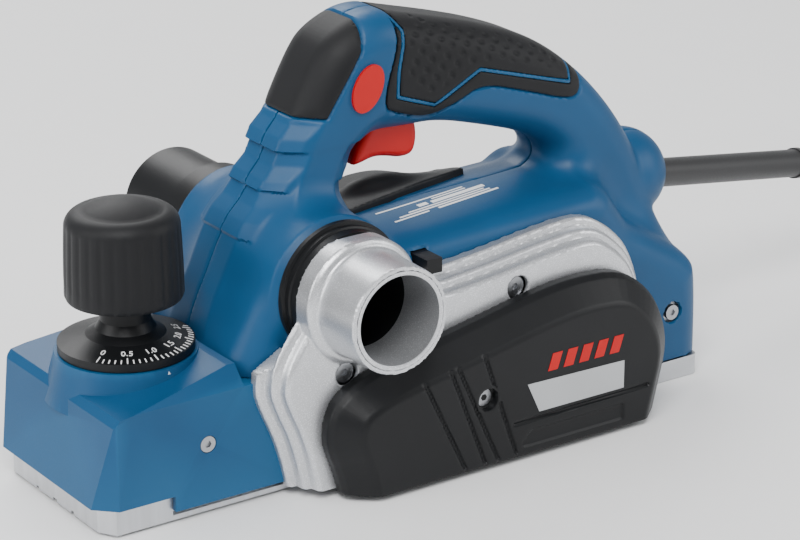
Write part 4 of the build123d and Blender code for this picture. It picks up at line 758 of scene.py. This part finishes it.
# ------------------------------------------------------------------ depth knob
@dataclass
class DepthKnob:
    """The front knob: a fluted cap over a dial with a depth scale, from 0 to 2.5."""

    x: float = -111.1
    cap_low: float = 79.0
    cap_top: float = 119.0
    cap_radius: float = 23.3
    flutes: int = 28
    scale_angle: float = -145.0
    degrees_per_mm: float = 53.2
    pointer_angle: float = -85.0
    collar_radius: float = 28.35
    dial_slope: tuple[tuple[float, float], tuple[float, float]] = ((26.8, 61.5), (15.8, 64.5))

    def cap(self) -> None:
        """The cap, with flutes r = R - d (1 + cos nt) / 2 that fade out on the dome."""
        height = self.cap_top - self.cap_low
        profile = [(7.8, 15.0), (7.8, 0.2), (10.0, 0.0), (self.cap_radius - 2.2, 0.0), (self.cap_radius - 0.7, 0.5),
                   (self.cap_radius, 2.2), (self.cap_radius - 0.1, 7.0)]
        for share in np.linspace(0.22, 0.74, 10):
            profile.append((self.cap_radius - 1.5 * share * share, height * share))
        bend = np.linspace(0.0, math.pi / 2, 14)[1:]
        start_r, start_h = profile[-1]
        for angle in bend:
            profile.append((start_r - 6.5 + 6.5 * math.cos(angle), start_h + 6.2 * math.sin(angle)))
        edge_r, edge_h = profile[-1]
        for share in np.linspace(0.1, 1.0, 14):
            profile.append((edge_r * (1 - share), edge_h + (height - edge_h) * (1 - (1 - share) ** 2)))

        def flute(angle: Array, level: Array) -> Array:
            """How far the flutes cut into the side at an angle and a height."""
            wave = 0.5 + 0.5 * np.cos(angle * self.flutes)
            side = step(level, 1.5, 4.0) * (1 - step(level, 27.5, 33.0)) * (level > 0.6)
            return -0.32 * wave ** 2 * side

        piece = turned("knob_cap_moulding", profile, (self.x, 0, self.cap_low), (0, 0, 1), SOFT_BLACK, "knob",
                       336, flute, 50)
        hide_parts("knob_cap")

    def on_dial(self, angle: float, radius: float) -> Matrix:
        """The place of a mark on the dial's sloping top, its own up pointing outwards."""
        (r0, z0), (r1, z1) = self.dial_slope
        height = z0 + (z1 - z0) * (radius - r0) / (r1 - r0)
        tilt = math.atan2(z1 - z0, r0 - r1)
        turn = math.radians(angle)
        place = Vector((self.x + radius * math.cos(turn), radius * math.sin(turn), height + 0.05)) * MM
        return Matrix.Translation(place) @ Matrix.Rotation(turn + math.pi / 2, 4, "Z") @ Matrix.Rotation(tilt, 4, "X")

    def scale(self) -> None:
        """The ticks at each tenth and the figures at each half millimetre."""
        for tenth in range(0, 27):
            angle = self.scale_angle + self.degrees_per_mm * tenth / 10.0
            long = tenth % 5 == 0
            matrix = self.on_dial(angle, 24.6 if long else 25.2)
            length, width = (1.7 if long else 1.1), 0.24
            ring = ((-width, -length), (width, -length), (width, length), (-width, length))

            def place(u: Array, v: Array, height: float, matrix: Matrix = matrix) -> Array:
                """The tick's points on the dial."""
                return np.array([list((matrix @ Vector((a * MM, b * MM, height * MM))) / MM) for a, b in zip(u, v)])

            plate(f"scale_tick_{tenth:02d}", ring, place, 0.12, WHITE, "knob")
            if long:
                lettering(f"scale_figure_{tenth // 5}", ("0", "0.5", "1.0", "1.5", "2.0", "2.5")[tenth // 5], 3.0,
                          self.on_dial(angle, 20.4), WHITE, "knob")

    def pointer(self) -> None:
        """The white triangle on the collar that the scale is read against."""
        turn = math.radians(self.pointer_angle)
        e = np.array([math.cos(turn), math.sin(turn)])
        t = np.array([-e[1], e[0]])

        def place(u: Array, v: Array, height: float) -> Array:
            """The triangle's points on the collar's side."""
            flat = np.array([self.x, 0.0]) + (self.collar_radius + height) * e + u[:, None] * t
            return np.concatenate([flat, v[:, None]], axis=1)

        plate("collar_pointer", ((-2.0, 53.2), (2.0, 53.2), (0.0, 56.8)), place, 0.25, WHITE, "machine")

    def build(self) -> None:
        """Build the cap, its scale and its pointer."""
        self.cap()
        self.scale()
        self.pointer()


# ------------------------------------------------------------------ controls
@dataclass
class Controls:
    """The grey label panel, the red trigger and the pale rows of the label."""

    trigger_outline: Outline = (
        (-10.5, 114), (-9, 120), (-5.5, 126), (0, 134), (18, 134), (21.5, 124), (20, 114.5), (14, 113.2), (6, 115.4),
        (0, 116.2), (-6, 114.6),
    )
    label_rows: tuple[tuple[float, float, float, float], ...] = (
        (0, 46, -7.4, 0.42), (28, 46, -9.3, 0.4), (26, 54, -12.0, 1.15), (19, 24, -11.6, 1.2), (12, 52, -14.6, 0.42),
        (6, 54, -16.4, 0.48), (2, 20, -18.4, 0.45), (25, 57, -18.4, 0.6))
    panel_plan: Outline = ((-15, -5.6), (20, 1.6), (56, 8.6), (60, 33), (-15, 33))
    hump_outline: Outline = (
        (-16, 78), (-15, 95), (-6, 99.5), (4, 103.4), (14, 104), (24, 103), (36, 99), (48, 95.5), (60, 93), (60, 78))

    def trigger(self, x: Array, y: Array, z: Array) -> Array:
        """The trigger: its outline rounded across its width."""
        return rounded_slab(outline_distance(x, z, rounded_outline(self.trigger_outline, 2)), np.abs(y) - 8.8, 3.2)

    def panel(self, x: Array, y: Array, z: Array) -> Array:
        """The grey panel: a flat strip on the body's crown that runs into a rounded hump behind it."""
        plan = outline_distance(x, y, np.asarray(self.panel_plan, float))
        fall = crown_fall(y)
        strip = rounded_slab(plan, z - (95.3 + 0.032 * x) + fall, 0.8)
        drop = 0.55 * fall
        hump = rounded_slab(
            outline_distance(x, z + 2.2, rounded_outline(self.hump_outline, 2)) + drop, np.abs(y - 18.0) - 11.0, 6.0)
        return np.maximum(join(strip, hump, 5.0), 84.0 - z)

    def build(self) -> None:
        """Build the panel, the trigger and the label's rows."""
        panel = carve("label_panel", self.panel, (-17, -8, 82), (62, 36, 107), 0.75, GREY, "machine")
        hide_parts("top_panel")
        trigger = carve("trigger_lever", self.trigger, (-14, -11, 110), (25, 11, 137), 0.7, RED, "trigger")
        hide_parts("trigger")
        self.label()

    def label(self) -> None:
        """Plain pale bars in rows on the shell beside the panel, laid on its surface."""
        shell = bpy.data.objects["shell_belt"]

        def place(u: Array, v: Array, height: float) -> Array:
            """Points of the shell's surface straight under (x, y), raised by a height."""
            points = []
            for a, b in zip(u, v):
                hit, at, _, _ = shell.ray_cast(Vector((a * MM, b * MM, 0.108)), Vector((0.0, 0.0, -1.0)))
                points.append((a, b, (at.z / MM if hit else 95.0) + height))
            return np.array(points)

        for row, (start, end, y, half) in enumerate(self.label_rows):
            across = np.linspace(start, end, 14)
            lean = 0.1 * (across - 25.0) + y + 1.0
            ring = [*zip(across, lean - half), *zip(across[::-1], (lean + half)[::-1])]
            plate(f"label_row_{row + 1}", ring, place, 0.12, WHITE, "machine")


# ------------------------------------------------------------------ cord
@dataclass
class SupplyCord:
    """The supply cord: out of its sleeve, down to the floor and into a tied coil with its plug."""

    radius: float = 3.75
    lead: tuple[tuple[float, float, float], ...] = (
        (141.1, 3.7, 77.9), (205.3, 13.2, 65.6), (270.5, 22.8, 53.1), (313, 33, 29), (350, 41, 5.4),
    )
    tail: tuple[tuple[float, float, float], ...] = ((367.5, 51.5, 18.2), (391, 75, 13), (411, 95, 13))
    coil_centre: tuple[float, float] = (380.0, -5.0)
    ring_radii: tuple[float, ...] = (48.75, 41.25, 33.75)
    layers: tuple[float, ...] = (5.05, 12.55, 20.05)
    turn_count: float = 7.875
    climb_start: float = 0.66
    bulge: float = 3.6

    def turns(self) -> list[tuple[float, float, float]]:
        """The coil's points: twelve a turn, outer ring to inner, back out a layer higher, and out again.

        A point stands at c + R (cos t, sin t) / cos 15, because the spline cuts inside its
        points; R and the height pass smoothly from ring to ring over the last third of a turn,
        with a bulge inwards where the cord climbs beside the turn before.
        """
        outer, middle, inner = self.ring_radii
        low, mid, high = self.layers
        rings = [(outer, low), (middle, low), (inner, low), (inner, mid), (middle, mid), (outer, mid), (middle, high),
                 (outer, high)]
        points = []
        steps = 12
        total = int(round(self.turn_count * steps))
        for number in range(total + 1):
            angle = math.radians(90.0 - 360.0 * number / steps)
            turn = number / steps
            index = min(int(turn), len(rings) - 1)
            after = min(index + 1, len(rings) - 1)
            share = float(step(np.array(turn - index), self.climb_start, 1.0))
            radius = rings[index][0] * (1 - share) + rings[after][0] * share
            height = rings[index][1] * (1 - share) + rings[after][1] * share
            if rings[index][0] == rings[after][0]:
                radius -= self.bulge * math.sin(math.pi * share)
            radius /= math.cos(math.pi / steps)
            points.append((self.coil_centre[0] + radius * math.cos(angle),
                           self.coil_centre[1] + radius * math.sin(angle), height))
        return points

    def build(self) -> None:
        points = [*self.lead, *self.turns(), *self.tail]
        curve = bpy.data.curves.new("supply_cord", "CURVE")
        curve.dimensions = "3D"
        curve.bevel_depth = self.radius * MM
        curve.bevel_resolution = 4
        curve.resolution_u = 5
        curve.use_fill_caps = True
        line = curve.splines.new("NURBS")
        line.points.add(len(points) - 1)
        line.points.foreach_set("co", [value for p in points for value in (p[0] * MM, p[1] * MM, p[2] * MM, 1.0)])
        line.order_u = 3
        line.use_endpoint_u = True
        curve.materials.append(CORD.material())
        piece = bpy.data.objects.new("supply_cord", curve)
        bpy.context.scene.collection.objects.link(piece)
        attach(piece, "machine")
        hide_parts("cord", "cord_coil", "cord_tail")
        bare = bpy.data.objects.new("cord_line", curve.copy())
        bare.data.bevel_depth = 0.0
        bpy.context.scene.collection.objects.link(bare)
        bpy.context.view_layer.update()
        mesh = bpy.data.meshes.new_from_object(bare.evaluated_get(bpy.context.evaluated_depsgraph_get()))
        bpy.data.objects.remove(bare)
        start = tuple(c * MM for c in self.lead[0])


# ------------------------------------------------------------------ studio
@dataclass
class Studio:
    """The pale floor, the soft lights and the camera."""

    right: tuple[float, float, float] = (0.8225, -0.5688, 0.0)
    up: tuple[float, float, float] = (0.2032, 0.2939, 0.9340)
    forward: tuple[float, float, float] = (0.5312, 0.7682, -0.3573)
    offsets: tuple[float, float, float] = (14.82, 61.36, -1243.8)
    lens: float = 135.0

    def floor(self) -> None:
        """A wide floor that curves up far behind: z = 0 near, then a quarter round of 1.2 m."""
        u = np.linspace(-4.0, 4.0, 41)
        flat = [(s, 0.0) for s in np.linspace(-3.5, 2.6, 24)]
        bend = [(2.6 + 1.2 * math.sin(a), 1.2 * (1 - math.cos(a))) for a in np.linspace(0, math.pi / 2, 14)[1:]]
        wall = [(3.8, h) for h in np.linspace(1.4, 4.0, 6)]
        rows = np.array(flat + bend + wall)
        ahead = np.array([0.5688, 0.8225])
        across = np.array([0.8225, -0.5688])
        grid = np.concatenate([
            (rows[:, None, :1] * ahead + u[None, :, None] * across),
            np.broadcast_to(rows[:, None, 1:], (len(rows), len(u), 1))], axis=-1).reshape(-1, 3)
        grid[:, 2] -= 0.0002
        i, j = np.meshgrid(np.arange(len(rows) - 1), np.arange(len(u) - 1), indexing="ij")
        base = i * len(u) + j
        quads = np.stack([base, base + 1, base + len(u) + 1, base + len(u)], axis=-1).reshape(-1, 4)
        mesh = bpy.data.meshes.new("studio_floor")
        mesh.from_pydata(grid.tolist(), [], quads.tolist())
        mesh.polygons.foreach_set("use_smooth", [True] * len(mesh.polygons))
        mesh.materials.append(FLOOR.material())
        floor = bpy.data.objects.new("studio_floor", mesh)
        bpy.context.scene.collection.objects.link(floor)

    def lamp(self, name: str, place: tuple[float, float, float], size: float, power: float) -> None:
        """A soft square lamp that looks at the object."""
        light = bpy.data.lights.new(name, "AREA")
        light.shape = "SQUARE"
        light.size = size
        light.energy = power
        lamp = bpy.data.objects.new(name, light)
        lamp.location = place
        direction = Vector((0.0, 0.0, 0.06)) - Vector(place)
        lamp.rotation_euler = direction.to_track_quat("-Z", "Y").to_euler()
        bpy.context.scene.collection.objects.link(lamp)

    def camera(self) -> None:
        """The camera, from its right, up and forward directions and its distance."""
        r, u, f = Vector(self.right), Vector(self.up), Vector(self.forward)
        data = bpy.data.cameras.new("camera")
        data.lens = self.lens
        data.sensor_width = 36.0
        data.clip_start = 0.05
        data.clip_end = 30.0
        camera = bpy.data.objects.new("camera", data)
        place = (self.offsets[0] * r + self.offsets[1] * u + self.offsets[2] * f) * MM
        camera.matrix_world = Matrix((
            (r.x, u.x, -f.x, place.x), (r.y, u.y, -f.y, place.y), (r.z, u.z, -f.z, place.z), (0, 0, 0, 1)))
        bpy.context.scene.collection.objects.link(camera)
        bpy.context.scene.camera = camera

    def build(self) -> None:
        """Set up the floor, the world, the lamps and the camera."""
        self.floor()
        world = bpy.data.worlds.new("studio_world")
        world.use_nodes = True
        world.node_tree.nodes["Background"].inputs["Color"].default_value = (0.95, 0.97, 1.0, 1.0)
        world.node_tree.nodes["Background"].inputs["Strength"].default_value = 0.42
        bpy.context.scene.world = world
        self.lamp("key_lamp", (-0.9, -1.1, 1.9), 1.3, 60.0)
        self.lamp("side_lamp", (1.6, -1.3, 1.0), 1.2, 20.0)
        self.lamp("front_lamp", (-1.9, 0.3, 0.9), 1.2, 22.0)
        self.lamp("back_lamp", (0.4, 1.8, 1.7), 1.4, 40.0)
        self.camera()


def dress_frame(frame: dict) -> None:
    """Give every CAD node its finish."""
    for name, node in frame["nodes"].items():
        finish = NODE_FINISH.get(name)
        if finish is None:
            log.warning("no finish for %s", name)
            continue
        node.data.materials.clear()
        node.data.materials.append(finish.material())


def main() -> None:
    """Build the planer over its frame, piece by piece."""
    logging.basicConfig(level=logging.INFO, format="%(name)s %(message)s")
    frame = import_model()
    dress_frame(frame)
    Housing().build()
    BeltSide().build()
    DepthKnob().build()
    Controls().build()
    SupplyCord().build()
    Studio().build()


if __name__ == "__main__":
    main()
